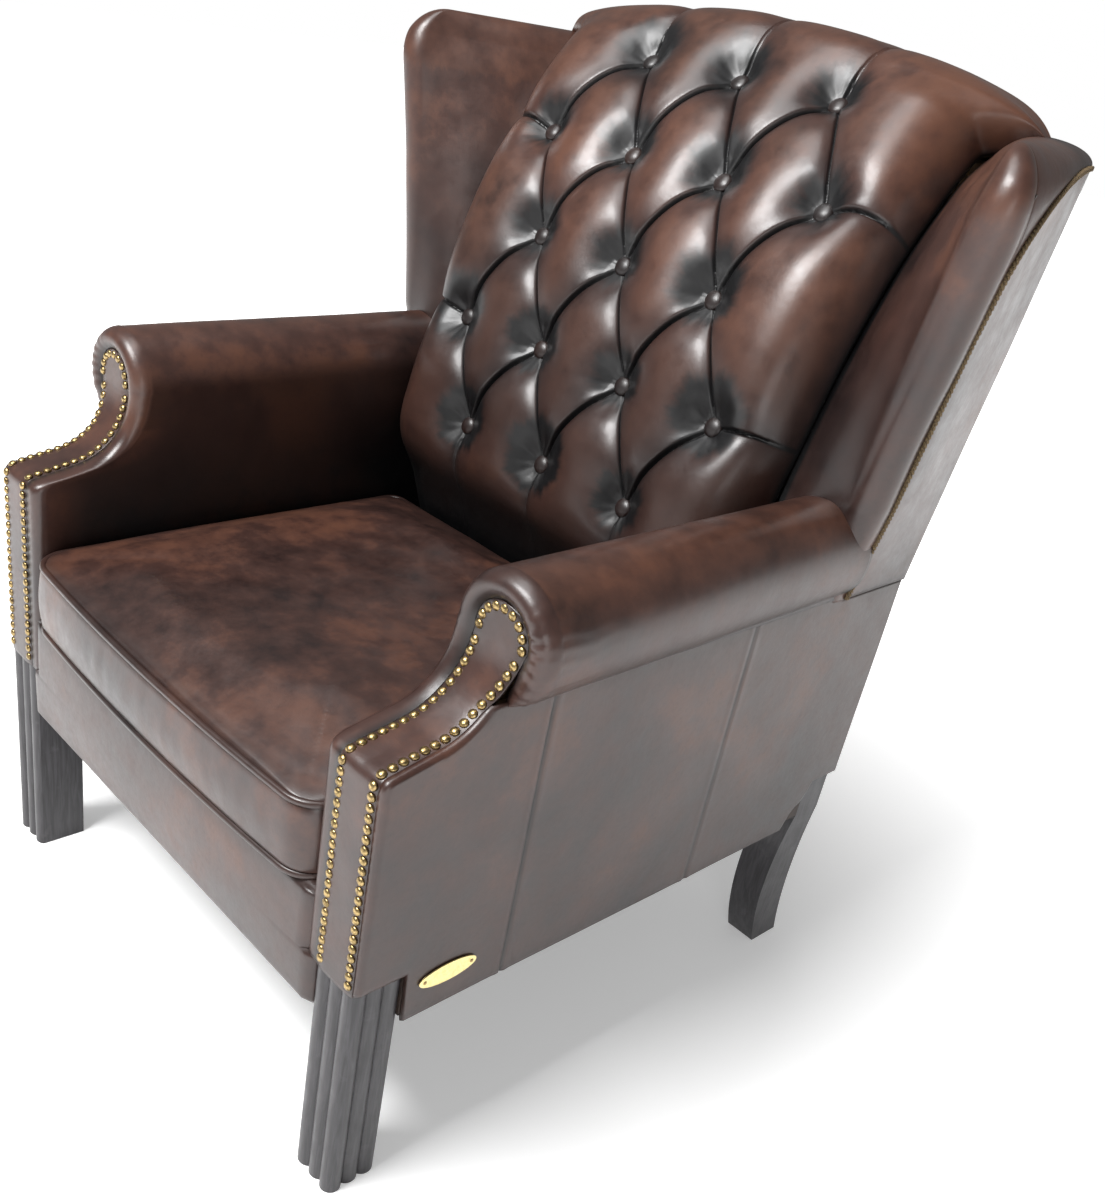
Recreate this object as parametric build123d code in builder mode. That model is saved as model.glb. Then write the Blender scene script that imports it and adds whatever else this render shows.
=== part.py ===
from build123d import *
import math
import os

os.makedirs("parts", exist_ok=True)

# A deep buttoned wing chair. Left is the sitter's left, +X. The front faces -Y.
# A setback is a distance behind the plane of the arm fronts.

# Overall layout
front_y = -415.0  # plane of the arm fronts, seen from the middle of the footprint
side_x = 366.0  # outer face of the side panels
cover = 8.0  # leather over wadding and card
rear_setback = 754.0  # rear face of the lower outside back
clearance = 0.3  # between pieces that lie against each other
overrun = 60.0  # how far cutting shapes pass through what they cut

# Legs
leg_size = 60.0
leg_height = 271.0
leg_step = 1.5  # the front legs stand out from the frame under the cover
reed_count = 3
reed_depth = 5.0
rear_leg_width = 48.0
rear_leg_top_setback = 700.0
rear_leg_waist_setback = 682.0
rear_leg_foot_setback = 706.0
rear_leg_top_depth = 46.0
rear_leg_waist_depth = 55.0
rear_leg_foot_depth = 50.0
rear_leg_waist_z = 118.0
rear_leg_taper = 6.0

# Seat frame
ogee_width = 42.0
ogee_sagitta = 5.0
rail_bottom = 218.0
rail_top = 322.0
rail_thickness = 26.0
block_reach = 60.0
block_height = 62.0
web_thickness = 3.0
web_width = 50.0
long_web_count = 5
cross_web_count = 5
deck_thickness = 14.0
apron_lip = 60.0
dust_cover_thickness = 2.0

# Arms
arm_inner_x = 282.0
facing_inset = 21.0  # from the arm's inner face to the facing
shelf_front_z = 509.0
shelf_back_z = 535.0
scroll_setback = 127.0
shelf_radius = 84.0
nose_radius = 12.0
scroll_x = 342.0
scroll_z = 605.0
scroll_radius = 33.0
scroll_neck_rise = 5.0
roll_drop = 2.0  # from the scroll's middle down to the roll's
roll_sides = 20  # flat faces round half of the roll
roll_radius = 60.0
roll_rear_reach = 44.0  # from the roll's middle to its outer side, at the wing
arm_rear_setback = 632.0
arm_hollow_drop = 15.0
arm_rail_height = 24.0
arm_rail_side_gap = 2.0
arm_post_thickness = 34.0
arm_post_depth = 54.0
arm_post_head_depth = 44.0
arm_post_neck_z = 470.0

# Close nailing on the arm facings
nail_radius = 4.8
nail_height = 3.0
nail_pitch = 11.0
nail_inset = 6.0
nail_sides = 6
nail_taper = 35.0

# Wings
wing_base_z = 664.0
wing_foot_z = 545.0
wing_skin = 14.0
wing_edge_radius = 26.0  # rolled front edge
wing_edge_sides = 6
wing_trim_reach = 12.0  # from the end of the roll back to the trim
wing_foot_roll_x = 341.0
wing_foot_roll_setback = 617.0
wing_base_roll_x = 370.0
wing_base_roll_setback = 600.0
wing_middle_roll_x = 397.0
wing_middle_roll_setback = 595.0
wing_middle_z = 850.0
wing_top_roll_x = 430.0
wing_top_roll_setback = 586.0
wing_top_inset = 18.0
wing_top_z = 1024.0
wing_crown_height = 39.0
wing_panel_drop = 22.0
wing_post_width = 20.0
wing_rail_gap = 1.5
wing_post_depth = 40.0
wing_rail_height = 28.0
trim_radius = 3.5
trim_sides = 8
trim_seam_gap = 1.8  # half of the seam under the trim
trim_corner_drop = 6.0  # below the crown of the wing
trim_rear_drop = 2.0  # below the top of the outer panel

# Outer back frame
post_width = 30.0
post_depth = 38.0
outside_lean_z = 546.0  # the outside back is upright below this height
back_top_thickness = 136.0  # from the button line to the outside back, at its top
outside_top_z = 1014.0
post_top_drop = 29.0

# Inner back frame
stile_width = 30.0
stile_depth = 30.0
back_foot_thickness = 132.5  # from the lowest row of buttons back to the stiles
stile_head_gap = 18.0  # between the top rail and the outside back
back_rail_height = 50.0
back_rail_depth = 28.0
back_web_count = 6

# Buttoned back
button_spacing = 137.0
row_pitch = 121.0
row_count = 5
wide_row_count = 4
button_radius = 11.0
button_height = 7.0
button_seat = 2.0
button_taper = 30.0
button_sides = 12
fullness = 25.0  # how far the crests stand out from the buttons
low_row_setback = 501.5
low_row_z = 580.0
back_lean = 17.5
back_straight = 185.0  # straight part above the lowest row
back_bend_radius = 620.0
lumbar_radius = 92.0
lumbar_length = 60.0
skirt_length = 178.0
skirt_fullness_share = 0.4
skirt_pleat_share = 0.6
skirt_middle_share = 0.8
skirt_end_share = 0.85
cap_neck = 25.0  # above the top row, still between the wings
cap_flare = 45.0
cap_rise = 50.0
cap_radius = 40.0
cap_top_length = 18.0
cap_turn = 60.0
cap_tail_turn = 20.0
cap_gap = 2.0  # from the tops of the wings up to the underside of the cap
cap_tail_thickness = 18.0
cap_half_width = 353.0
cap_ear_half_width = 335.0
cap_rear_half_width = 345.0
cap_tail_half_width = 290.0
cap_arch = 43.0
cap_flare_drop = -12.0
back_side_gap = 0.5
back_top_flare = 10.5  # how much wider the back is at the tops of the wings
side_drop = 58.0
pleat_share = 0.45
flank_share = 0.8
side_roll_shares = [(0.5, 0.1), (0.82, 0.4), (1.0, 1.0)]

# Seat cushion
cushion_side_gap = 1.0
cushion_front_setback = -20.0
cushion_bow = 12.0
cushion_rear_setback = 516.0
cushion_corner_radius = 38.0
cushion_rear_radius = 14.0
cushion_softening = 0.2  # how much rounder the corners get toward the crown
bow_sides = 4
corner_sides = 5
rear_corner_sides = 3
boxing_height = 80.0
boxing_inset = 2.0
crown_height = 28.0
crown_reach = 190.0
crown_steps = [22, 45, 68, 90]
piping_radius = 4.0
piping_sides = 8

# Plate on the left side
plate_length = 71.0
plate_width = 23.0
plate_thickness = 1.5
plate_setback = 109.0
plate_z = 256.0
plate_screw_radius = 2.2
plate_screw_height = 1.0
plate_screw_spacing = 58.0

# Heights and faces that follow from the sizes above
frame_x = side_x - cover
leg_outer_x = frame_x + leg_step
leg_inner_x = leg_outer_x - leg_size
cover_bottom = rail_bottom - cover
deck_bottom = rail_top + 2 * web_thickness
deck_top = deck_bottom + deck_thickness
rail_inner_x = frame_x - rail_thickness
back_rail_rear = rear_setback - cover
front_rail_rear = cover + rail_thickness
facing_inner_x = arm_inner_x + facing_inset
scroll_neck_z = shelf_back_z + scroll_neck_rise
roll_z = scroll_z - roll_drop
arm_hollow_top_z = roll_z - arm_hollow_drop
wing_crown_z = wing_top_z - wing_crown_height
wing_panel_top_z = wing_top_z - wing_panel_drop
trim_corner_z = wing_crown_z - trim_corner_drop
trim_rear_z = wing_panel_top_z - trim_rear_drop
post_top_z = outside_top_z - post_top_drop
back_half_width = arm_inner_x - back_side_gap
back_top_half_width = back_half_width + back_top_flare
cap_floor_z = wing_top_z + cap_gap
cushion_half_width = arm_inner_x - cushion_side_gap


def y_at(setback):
    """Y of a point that lies this far behind the plane of the arm fronts."""
    return front_y + setback


def save(piece, name):
    """Label a finished piece and write it."""
    piece.part.label = name
    export_step(piece.part, f"parts/{name}.step")


def save_pair(piece, name):
    """Write a left-hand piece, and its mirror image for the right."""
    save(piece, name + "_left")
    with BuildPart() as twin:
        mirror(piece.part, about=Plane.YZ)
    save(twin, name + "_right")


# Front legs: square, with rounded reeds on the front and outer faces
reed_width = leg_size / reed_count
with BuildPart() as front_leg:
    with BuildSketch() as reeded:
        with BuildLine():
            inner_corner = (leg_inner_x, y_at(leg_size))
            front_corner = (leg_inner_x, y_at(reed_depth))
            outer_corner = (leg_outer_x - reed_depth, y_at(leg_size))
            Line(inner_corner, front_corner)
            for reed in range(reed_count - 1):
                start_x = leg_inner_x + reed * reed_width
                ThreePointArc(
                    (start_x, y_at(reed_depth)),
                    (start_x + reed_width / 2, y_at(0)),
                    (start_x + reed_width, y_at(reed_depth)),
                )
            corner_start = (leg_outer_x - reed_width, y_at(reed_depth))
            corner_end = (leg_outer_x - reed_depth, y_at(reed_width))
            corner_middle = (leg_outer_x - reed_depth / 2, y_at(reed_depth / 2))
            ThreePointArc(corner_start, corner_middle, corner_end)
            for reed in range(1, reed_count):
                start_setback = reed * reed_width
                ThreePointArc(
                    (leg_outer_x - reed_depth, y_at(start_setback)),
                    (leg_outer_x, y_at(start_setback + reed_width / 2)),
                    (leg_outer_x - reed_depth, y_at(start_setback + reed_width)),
                )
            Line(outer_corner, inner_corner)
        make_face()
    extrude(amount=leg_height)
    with BuildSketch(Plane.XY.offset(leg_height)):
        with BuildLine():
            Polyline(
                (leg_inner_x, y_at(cover)),
                (frame_x, y_at(cover)),
                (frame_x, y_at(leg_size)),
                (leg_inner_x, y_at(leg_size)),
                close=True,
            )
        make_face()
    extrude(amount=rail_top - leg_height)
save_pair(front_leg, "front_leg")

# Rear legs: swept back below the rail, square above it
with BuildPart() as rear_leg:
    with BuildSketch(Plane.YZ.offset(frame_x - rear_leg_width)):
        with BuildLine():
            head_front = (y_at(rear_leg_top_setback), rail_top)
            head_rear = (y_at(rear_leg_top_setback + rear_leg_top_depth), rail_top)
            knee_front = (y_at(rear_leg_top_setback), rail_bottom)
            knee_rear = (y_at(rear_leg_top_setback + rear_leg_top_depth), rail_bottom)
            foot_front = (y_at(rear_leg_foot_setback), 0)
            foot_rear = (y_at(rear_leg_foot_setback + rear_leg_foot_depth), 0)
            waist_front = (y_at(rear_leg_waist_setback), rear_leg_waist_z)
            waist_rear = (y_at(rear_leg_waist_setback + rear_leg_waist_depth), rear_leg_waist_z)
            Line(head_rear, head_front)
            Line(head_front, knee_front)
            ThreePointArc(knee_front, waist_front, foot_front)
            Line(foot_front, foot_rear)
            ThreePointArc(foot_rear, waist_rear, knee_rear)
            Line(knee_rear, head_rear)
        make_face()
    extrude(amount=rear_leg_width)
    with BuildSketch(Plane.XZ.offset(-y_at(0))):
        with BuildLine():
            Polyline(
                (frame_x, rail_bottom),
                (frame_x - rear_leg_taper, 0),
                (frame_x + overrun, 0),
                (frame_x + overrun, rail_bottom),
                close=True,
            )
        make_face()
    extrude(amount=-rear_setback - overrun, mode=Mode.SUBTRACT)
save_pair(rear_leg, "rear_leg")


def board(x_range, setback_range, z_range, mode=Mode.ADD):
    """Add a board given by the two ends of its width, depth and height."""
    middle_x = (x_range[0] + x_range[1]) / 2
    middle_y = y_at((setback_range[0] + setback_range[1]) / 2)
    middle_z = (z_range[0] + z_range[1]) / 2
    with Locations((middle_x, middle_y, middle_z)):
        Box(
            x_range[1] - x_range[0],
            setback_range[1] - setback_range[0],
            z_range[1] - z_range[0],
            mode=mode,
        )


# Seat rails
with BuildPart() as front_rail:
    board((-leg_inner_x, leg_inner_x), (cover, front_rail_rear), (rail_bottom, rail_top))
save(front_rail, "front_seat_rail")

with BuildPart() as side_rail:
    board((rail_inner_x, frame_x), (leg_size, rear_leg_top_setback), (rail_bottom, rail_top))
save_pair(side_rail, "side_seat_rail")

back_rail_x = frame_x - rear_leg_width
back_rail_front = back_rail_rear - rail_thickness
with BuildPart() as back_rail:
    board((-back_rail_x, back_rail_x), (back_rail_front, back_rail_rear), (rail_bottom, rail_top))
save(back_rail, "back_seat_rail")

# Corner blocks, notched round the legs
with BuildPart() as corner_blocks:
    with BuildSketch(Plane.XY.offset(rail_top - block_height - rail_thickness)):
        with BuildLine():
            Polyline(
                (leg_inner_x - block_reach, y_at(front_rail_rear)),
                (leg_inner_x, y_at(front_rail_rear)),
                (leg_inner_x, y_at(leg_size)),
                (rail_inner_x, y_at(leg_size)),
                (rail_inner_x, y_at(leg_size + block_reach)),
                close=True,
            )
        make_face()
        with BuildLine():
            Polyline(
                (rail_inner_x, y_at(rear_leg_top_setback - block_reach)),
                (rail_inner_x, y_at(rear_leg_top_setback)),
                (back_rail_x, y_at(rear_leg_top_setback)),
                (back_rail_x, y_at(back_rail_front)),
                (back_rail_x - block_reach, y_at(back_rail_front)),
                close=True,
            )
        make_face()
        mirror(about=Plane.YZ)
    extrude(amount=block_height)
save(corner_blocks, "corner_blocks")

# Seat webbing: cross webs on the side rails, long webs over them
cross_span_front = leg_size + web_thickness
cross_span = rear_leg_top_setback - cross_span_front
with BuildPart() as cross_webs:
    with BuildSketch(Plane.XY.offset(rail_top)):
        with Locations((0, y_at(cross_span_front + cross_span / 2))):
            with GridLocations(0, cross_span / (cross_web_count + 1), 1, cross_web_count):
                Rectangle(rail_inner_x + frame_x, web_width)
    extrude(amount=web_thickness)
save(cross_webs, "seat_webbing_cross")

web_front = cover + web_thickness
web_span = back_rail_rear - web_thickness - web_front
with BuildPart() as long_webs:
    with BuildSketch(Plane.XY.offset(rail_top + web_thickness)):
        with Locations((0, y_at(web_front + web_span / 2))):
            with GridLocations(2 * leg_inner_x / (long_web_count + 1), 0, long_web_count, 1):
                Rectangle(web_width, web_span)
    extrude(amount=web_thickness)
save(long_webs, "seat_webbing_long")

# Arm posts: boards cut to the line of the arm's front
shelf_rise = (shelf_back_z - shelf_front_z) / scroll_setback


def arm_front(inset, bottom_z):
    """Draw the arm's front in side view: up, back along the shelf and up past the roll."""
    top_z = roll_z + roll_radius + overrun
    drop = inset * math.hypot(1, shelf_rise)
    front_turn = shelf_front_z + shelf_rise * inset - drop
    back_turn = shelf_front_z + shelf_rise * (scroll_setback + inset) - drop
    return FilletPolyline(
        (y_at(inset), bottom_z),
        (y_at(inset), front_turn),
        (y_at(scroll_setback + inset), back_turn),
        (y_at(scroll_setback + inset), top_z),
        radius=[nose_radius - inset, shelf_radius + inset],
    )


arm_post_x = (facing_inner_x + frame_x - arm_post_thickness) / 2
with BuildPart() as arm_post:
    with BuildSketch(Plane.YZ.offset(arm_post_x)):
        foot_setback = cover + clearance
        head_setback = scroll_setback + cover + clearance
        with BuildLine():
            front_line = arm_front(foot_setback, rail_top)
            Polyline(
                front_line @ 1,
                (y_at(head_setback + arm_post_head_depth), roll_z + roll_radius + overrun),
                (y_at(head_setback + arm_post_head_depth), shelf_front_z),
                (y_at(foot_setback + arm_post_depth), arm_post_neck_z),
                (y_at(foot_setback + arm_post_depth), rail_top),
                (y_at(foot_setback), rail_top),
            )
        make_face()
    extrude(amount=arm_post_thickness)
    board((arm_inner_x, side_x), (0, rear_setback), (rail_top, arm_hollow_top_z), Mode.INTERSECT)
save_pair(arm_post, "arm_post")

# Arm rails, from the arm post back to the outer back frame
arm_rail_front = head_setback + arm_post_head_depth
post_front_setback = back_rail_rear - post_depth
arm_rail_x = (facing_inner_x + arm_rail_side_gap, frame_x - arm_rail_side_gap)
arm_rail_bottom = arm_hollow_top_z - arm_rail_height
with BuildPart() as arm_rail:
    board(arm_rail_x, (arm_rail_front, post_front_setback), (arm_rail_bottom, arm_hollow_top_z))
save_pair(arm_rail, "arm_rail")


# Arm facings: a leather strip that ends in a round scroll
def facing_outline(inset, bottom_z):
    """Draw the facing in front view, drawn in by inset all round."""
    with BuildLine() as outline:
        Polyline(
            (facing_inner_x + inset, bottom_z),
            (facing_inner_x + inset, shelf_front_z),
            (scroll_x - scroll_radius + inset, scroll_z),
            (scroll_x + scroll_radius - inset, scroll_z),
            (frame_x - inset, scroll_neck_z),
            (frame_x - inset, bottom_z),
            close=True,
        )
    make_face(outline.line)
    with Locations((scroll_x, scroll_z)):
        Circle(scroll_radius - inset)


with BuildPart() as arm_facing:
    with BuildSketch(Plane.XZ.offset(-y_at(-overrun))):
        facing_outline(0, leg_height)
    extrude(amount=-scroll_setback - 2 * overrun)
    with BuildSketch(Plane.YZ.offset(facing_inner_x - overrun)):
        with BuildLine():
            outer_line = arm_front(0, leg_height - overrun)
            inner_line = arm_front(cover, leg_height - overrun)
            Line(outer_line @ 0, inner_line @ 0)
            Line(outer_line @ 1, inner_line @ 1)
        make_face()
    extrude(amount=frame_x - facing_inner_x + 2 * overrun, mode=Mode.INTERSECT)
save_pair(arm_facing, "arm_facing")


# Button line of the back: a straight part, then a bend
lean = math.radians(back_lean)
bend_start = (
    low_row_setback + back_straight * math.sin(lean),
    low_row_z + back_straight * math.cos(lean),
)
bend_centre = (
    bend_start[0] + back_bend_radius * math.cos(lean),
    bend_start[1] - back_bend_radius * math.sin(lean),
)


def button_line(z):
    """Setback of the button line at a height from the lowest row up."""
    if z < bend_start[1]:
        return low_row_setback + (z - low_row_z) * math.tan(lean)
    rise = z - bend_centre[1]
    return bend_centre[0] - math.sqrt(back_bend_radius**2 - rise**2)


# Outside back line: upright at first, then leaning, to its top behind the button line
outside_top_setback = button_line(outside_top_z) + back_top_thickness
outside_slope = (outside_top_setback - rear_setback) / (outside_top_z - outside_lean_z)


def outside_back(z):
    """Setback of the outside back's rear face at a height."""
    return rear_setback + max(0, z - outside_lean_z) * outside_slope


def between(z, low, high):
    """Linear value at height z between two (height, value) pairs."""
    return low[1] + (high[1] - low[1]) * (z - low[0]) / (high[0] - low[0])


def crease(z):
    """Where the wing meets the back: x and setback at a height."""
    x = between(z, (wing_base_z, back_half_width), (wing_crown_z, back_top_half_width))
    return (x + 2 * clearance, button_line(z) + side_drop)


# Middle of the wing's rolled edge at each named height
wing_levels = [
    (wing_foot_z, wing_foot_roll_x, wing_foot_roll_setback),
    (wing_base_z, wing_base_roll_x, wing_base_roll_setback),
    (wing_middle_z, wing_middle_roll_x, wing_middle_roll_setback),
    (wing_top_z, wing_top_roll_x, wing_top_roll_setback),
]


def roll_middle(z):
    """Middle of the wing's rolled edge at a height: x and setback."""
    for low, high in zip(wing_levels, wing_levels[1:]):
        if z <= high[0]:
            break
    return tuple(between(z, (low[0], low[i]), (high[0], high[i])) for i in (1, 2))


def steps(first, last, count):
    """Evenly spaced values from first to last."""
    return [first + (last - first) * step / count for step in range(count + 1)]


def toward(start, end, distance):
    """Point at a distance from start on the way to end."""
    length = math.dist(start, end)
    return tuple(a + (b - a) * distance / length for a, b in zip(start, end))


def inward(start, end, distance):
    """How far a line from start to end moves when it is shifted to its left."""
    length = math.dist(start, end)
    return (
        -(end[1] - start[1]) * distance / length,
        (end[0] - start[0]) * distance / length,
    )


def shifted(point, shift):
    """A point moved by a shift."""
    return (point[0] + shift[0], point[1] + shift[1])


def touching(point, middle, radius, side):
    """Angle at which a line from a point touches a circle, on the given side."""
    bearing = math.atan2(point[1] - middle[1], point[0] - middle[0])
    angle = bearing + side * math.acos(radius / math.dist(point, middle))
    return math.remainder(angle, math.tau)


def wing_plan(z, inset=0):
    """Points of the wing in plan: crease, round the rolled edge, trim and rear corner."""
    middle = roll_middle(z)
    radius = wing_edge_radius - inset
    front = crease(z)
    rear = (side_x, outside_back(z))
    start = toward(front, rear, inset)
    end = toward(rear, front, inset)
    first = touching(start, middle, radius, 1)
    last = touching(end, middle, radius, -1)
    roll = [
        (middle[0] + radius * math.cos(angle), middle[1] + radius * math.sin(angle))
        for angle in steps(first, last, wing_edge_sides)
    ]
    return start, *roll, toward(roll[-1], end, wing_trim_reach), end


def placed(points):
    """Turn (x, setback) points into (x, y) points."""
    return [(x, y_at(setback)) for x, setback in points]


# Outer wing panels: from the trim back to the outside back
panel_heights = [wing_foot_z, wing_base_z, wing_middle_z, wing_panel_top_z]
with BuildPart() as outer_wing:
    for z in panel_heights:
        trim, rear = wing_plan(z)[-2:]
        shift = inward(trim, rear, cover)
        with BuildSketch(Plane.XY.offset(z)):
            with BuildLine():
                Polyline(placed([trim, rear, shifted(rear, shift), shifted(trim, shift)]), close=True)
            make_face()
    loft(ruled=True)
save_pair(outer_wing, "outer_wing")

# Wing posts, from the arm rail up to the closed top of the wing
with BuildPart() as wing_post:
    for z in (arm_hollow_top_z, wing_base_z, wing_middle_z, wing_crown_z):
        trim, rear = wing_plan(z)[-2:]
        faces = [inward(trim, rear, cover + clearance + width) for width in (0, wing_post_width)]
        outer_front, inner_front = [shifted(trim, shift) for shift in faces]
        outer_rear, inner_rear = [
            shifted(toward(trim, rear, wing_post_depth), shift) for shift in faces
        ]
        with BuildSketch(Plane.XY.offset(z)):
            with BuildLine():
                Polyline(placed([outer_front, outer_rear, inner_rear, inner_front]), close=True)
            make_face()
    loft(ruled=True)
save_pair(wing_post, "wing_post")

# Where the wing's trim crosses the foot of the wing and the top of the arm roll
foot_trim = wing_plan(wing_foot_z)[-2][1]
base_trim = wing_plan(wing_base_z)[-2][1]
groove = trim_radius + 4 * clearance


# Arm pads: the inner arm and the roll over the top, hollow round the arm frame
def roll_section(reach):
    """Draw the arm in section: inner face, roll and the underside of the roll."""
    lip_x = side_x + clearance
    lobe_angle = math.acos((lip_x - scroll_x) / roll_radius)
    over_roll = []
    for angle in steps(math.pi, 0, roll_sides):
        width = roll_radius if angle > math.pi / 2 else reach
        over_roll.append((scroll_x + width * math.cos(angle), roll_z + roll_radius * math.sin(angle)))
    for angle in steps(0, lobe_angle, roll_sides // 4)[1:]:
        share = (math.cos(angle) - math.cos(lobe_angle)) / (1 - math.cos(lobe_angle))
        x = lip_x + (scroll_x + reach - lip_x) * share
        over_roll.append((x, roll_z - roll_radius * math.sin(angle)))
    with BuildLine() as outline:
        Polyline(
            (lip_x, arm_hollow_top_z),
            (facing_inner_x, arm_hollow_top_z),
            (facing_inner_x, deck_bottom),
            (arm_inner_x, deck_bottom),
            *over_roll,
            close=True,
        )
    make_face(outline.line)


with BuildPart() as arm_pad:
    with BuildSketch(Plane.XZ.offset(-y_at(0))):
        roll_section(roll_radius)
    with BuildSketch(Plane.XZ.offset(-y_at(arm_rear_setback))):
        roll_section(roll_rear_reach)
    loft(ruled=True)
    with BuildSketch(Plane.YZ.offset(arm_inner_x - overrun)):
        with BuildLine():
            front_line = arm_front(0, deck_bottom)
            Polyline(
                front_line @ 1,
                (y_at(arm_rear_setback), roll_z + roll_radius + overrun),
                (y_at(arm_rear_setback), deck_bottom),
                (y_at(0), deck_bottom),
            )
        make_face()
    extrude(amount=side_x + overrun, mode=Mode.INTERSECT)
    board((arm_inner_x, facing_inner_x), (0, cover), (leg_height, deck_top))
    add(arm_facing.part, mode=Mode.SUBTRACT)
    with BuildSketch(Plane.YZ.offset(frame_x)):
        with BuildLine():
            Polyline(
                (y_at(base_trim - groove), roll_z + roll_radius + overrun),
                (y_at(base_trim - groove), wing_base_z),
                (y_at(foot_trim - groove), wing_foot_z),
                (y_at(arm_rear_setback + overrun), wing_foot_z),
                (y_at(arm_rear_setback + overrun), roll_z + roll_radius + overrun),
                close=True,
            )
        make_face()
    extrude(amount=overrun + overrun, mode=Mode.SUBTRACT)
    add(wing_post.part, mode=Mode.SUBTRACT)
save_pair(arm_pad, "arm_pad")

# Side panels: outside arm leather, cut up over both legs
with BuildPart() as side_panel:
    with BuildSketch(Plane.YZ.offset(frame_x)):
        front_bottom = (y_at(0), leg_height)
        with BuildLine():
            front_line = arm_front(0, leg_height)
            Polyline(
                front_line @ 1,
                (y_at(base_trim - trim_seam_gap), roll_z + roll_radius + overrun),
                (y_at(base_trim - trim_seam_gap), wing_base_z),
                (y_at(foot_trim - trim_seam_gap), wing_foot_z),
                (y_at(rear_setback), wing_foot_z),
                (y_at(rear_setback), leg_height),
                (y_at(rear_leg_top_setback), leg_height),
            )
            ogee_middle = (y_at(rear_leg_top_setback - ogee_width / 2), (leg_height + cover_bottom) / 2)
            ogee_foot = (y_at(rear_leg_top_setback - ogee_width), cover_bottom)
            SagittaArc((y_at(rear_leg_top_setback), leg_height), ogee_middle, -ogee_sagitta)
            SagittaArc(ogee_middle, ogee_foot, ogee_sagitta)
            Polyline(
                ogee_foot,
                (y_at(leg_size), cover_bottom),
                (y_at(leg_size), leg_height),
                front_bottom,
            )
        make_face()
    extrude(amount=cover)
    board((frame_x, side_x), (0, rear_setback), (cover_bottom, arm_hollow_top_z), Mode.INTERSECT)
    add(arm_facing.part, mode=Mode.SUBTRACT)
save_pair(side_panel, "side_panel")

# Wing pads: inner wing, rolled front edge and the closed top
wing_heights = [
    wing_base_z,
    (wing_base_z + wing_middle_z) / 2,
    wing_middle_z,
    (wing_middle_z + wing_crown_z) / 2,
    wing_crown_z,
]


def wing_top(z, inset):
    """Draw the closed top of the wing in plan, drawn in along its free edges."""
    start, *roll, trim, end = placed(wing_plan(z, inset))
    with BuildLine() as outline:
        Polyline(start, *roll, end, close=True)
    make_face(outline.line)


with BuildPart() as wing_pad:
    for z in wing_heights:
        start, *roll, trim, rear = wing_plan(z)
        inner = [shifted(p, inward(start, roll[0], wing_skin)) for p in (roll[0], start)]
        back_of_trim = shifted(trim, inward(trim, rear, cover))
        with BuildSketch(Plane.XY.offset(z)):
            with BuildLine():
                Polyline(placed([start, *roll, trim, back_of_trim, *inner]), close=True)
            make_face()
    loft(ruled=True)
    with BuildSketch(Plane.XY.offset(wing_foot_z)):
        start, *roll, trim, rear = wing_plan(wing_foot_z)
        back_x = trim[0] - cover
        with BuildLine():
            Polyline(placed([(back_x, roll[-1][1]), roll[-1], trim, (back_x, trim[1])]), close=True)
        make_face()
    with BuildSketch(Plane.XY.offset(wing_base_z)):
        start, *roll, trim, rear = wing_plan(wing_base_z)
        middle = roll[wing_edge_sides // 2]
        back_x = trim[0] - cover
        with BuildLine():
            Polyline(placed([(back_x, middle[1]), middle, trim, (back_x, trim[1])]), close=True)
        make_face()
    loft(ruled=True)
    with BuildSketch(Plane.XY.offset(wing_crown_z)):
        wing_top(wing_crown_z, 0)
    with BuildSketch(Plane.XY.offset(wing_panel_top_z)):
        wing_top(wing_panel_top_z, 0)
    with BuildSketch(Plane.XY.offset((wing_panel_top_z + wing_top_z) / 2)):
        wing_top((wing_panel_top_z + wing_top_z) / 2, wing_top_inset / 4)
    with BuildSketch(Plane.XY.offset(wing_top_z)):
        wing_top(wing_top_z, wing_top_inset)
    loft(ruled=True)
    add(outer_wing.part, mode=Mode.SUBTRACT)
    add(arm_pad.part, mode=Mode.SUBTRACT)
    add(side_panel.part, mode=Mode.SUBTRACT)
save_pair(wing_pad, "wing_pad")

# Wing trims: a cord over the seam, up the wing and back along its top
with BuildPart() as wing_trim:
    stops = [(z, 0) for z in (wing_foot_z, wing_base_z, wing_middle_z, trim_corner_z)]
    cord = []
    for z, share in stops + [(trim_rear_z, 1)]:
        trim, rear = wing_plan(z)[-2:]
        shift = inward(trim, rear, -groove)
        x, setback = shifted(rear if share else trim, shift)
        cord.append((x, y_at(setback), z))
    with BuildLine() as path:
        Polyline(cord)
    with BuildSketch(Plane(origin=path.line @ 0, z_dir=path.line % 0)):
        RegularPolygon(trim_radius, trim_sides)
    sweep(path=path.line, transition=Transition.RIGHT)
save_pair(wing_trim, "wing_trim")

# Outer back frame: posts that stand on the rear legs
post_x = frame_x - arm_rail_side_gap - post_width
post_top_rear = outside_back(post_top_z) - cover
with BuildPart() as back_post:
    with BuildSketch(Plane.YZ.offset(post_x)):
        with BuildLine():
            Polyline(
                (y_at(post_front_setback), rail_top),
                (y_at(post_front_setback), outside_lean_z),
                (y_at(post_top_rear - post_depth), post_top_z),
                (y_at(post_top_rear), post_top_z),
                (y_at(back_rail_rear), outside_lean_z),
                (y_at(back_rail_rear), rail_top),
                close=True,
            )
        make_face()
    extrude(amount=post_width)
save_pair(back_post, "back_post")

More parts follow.
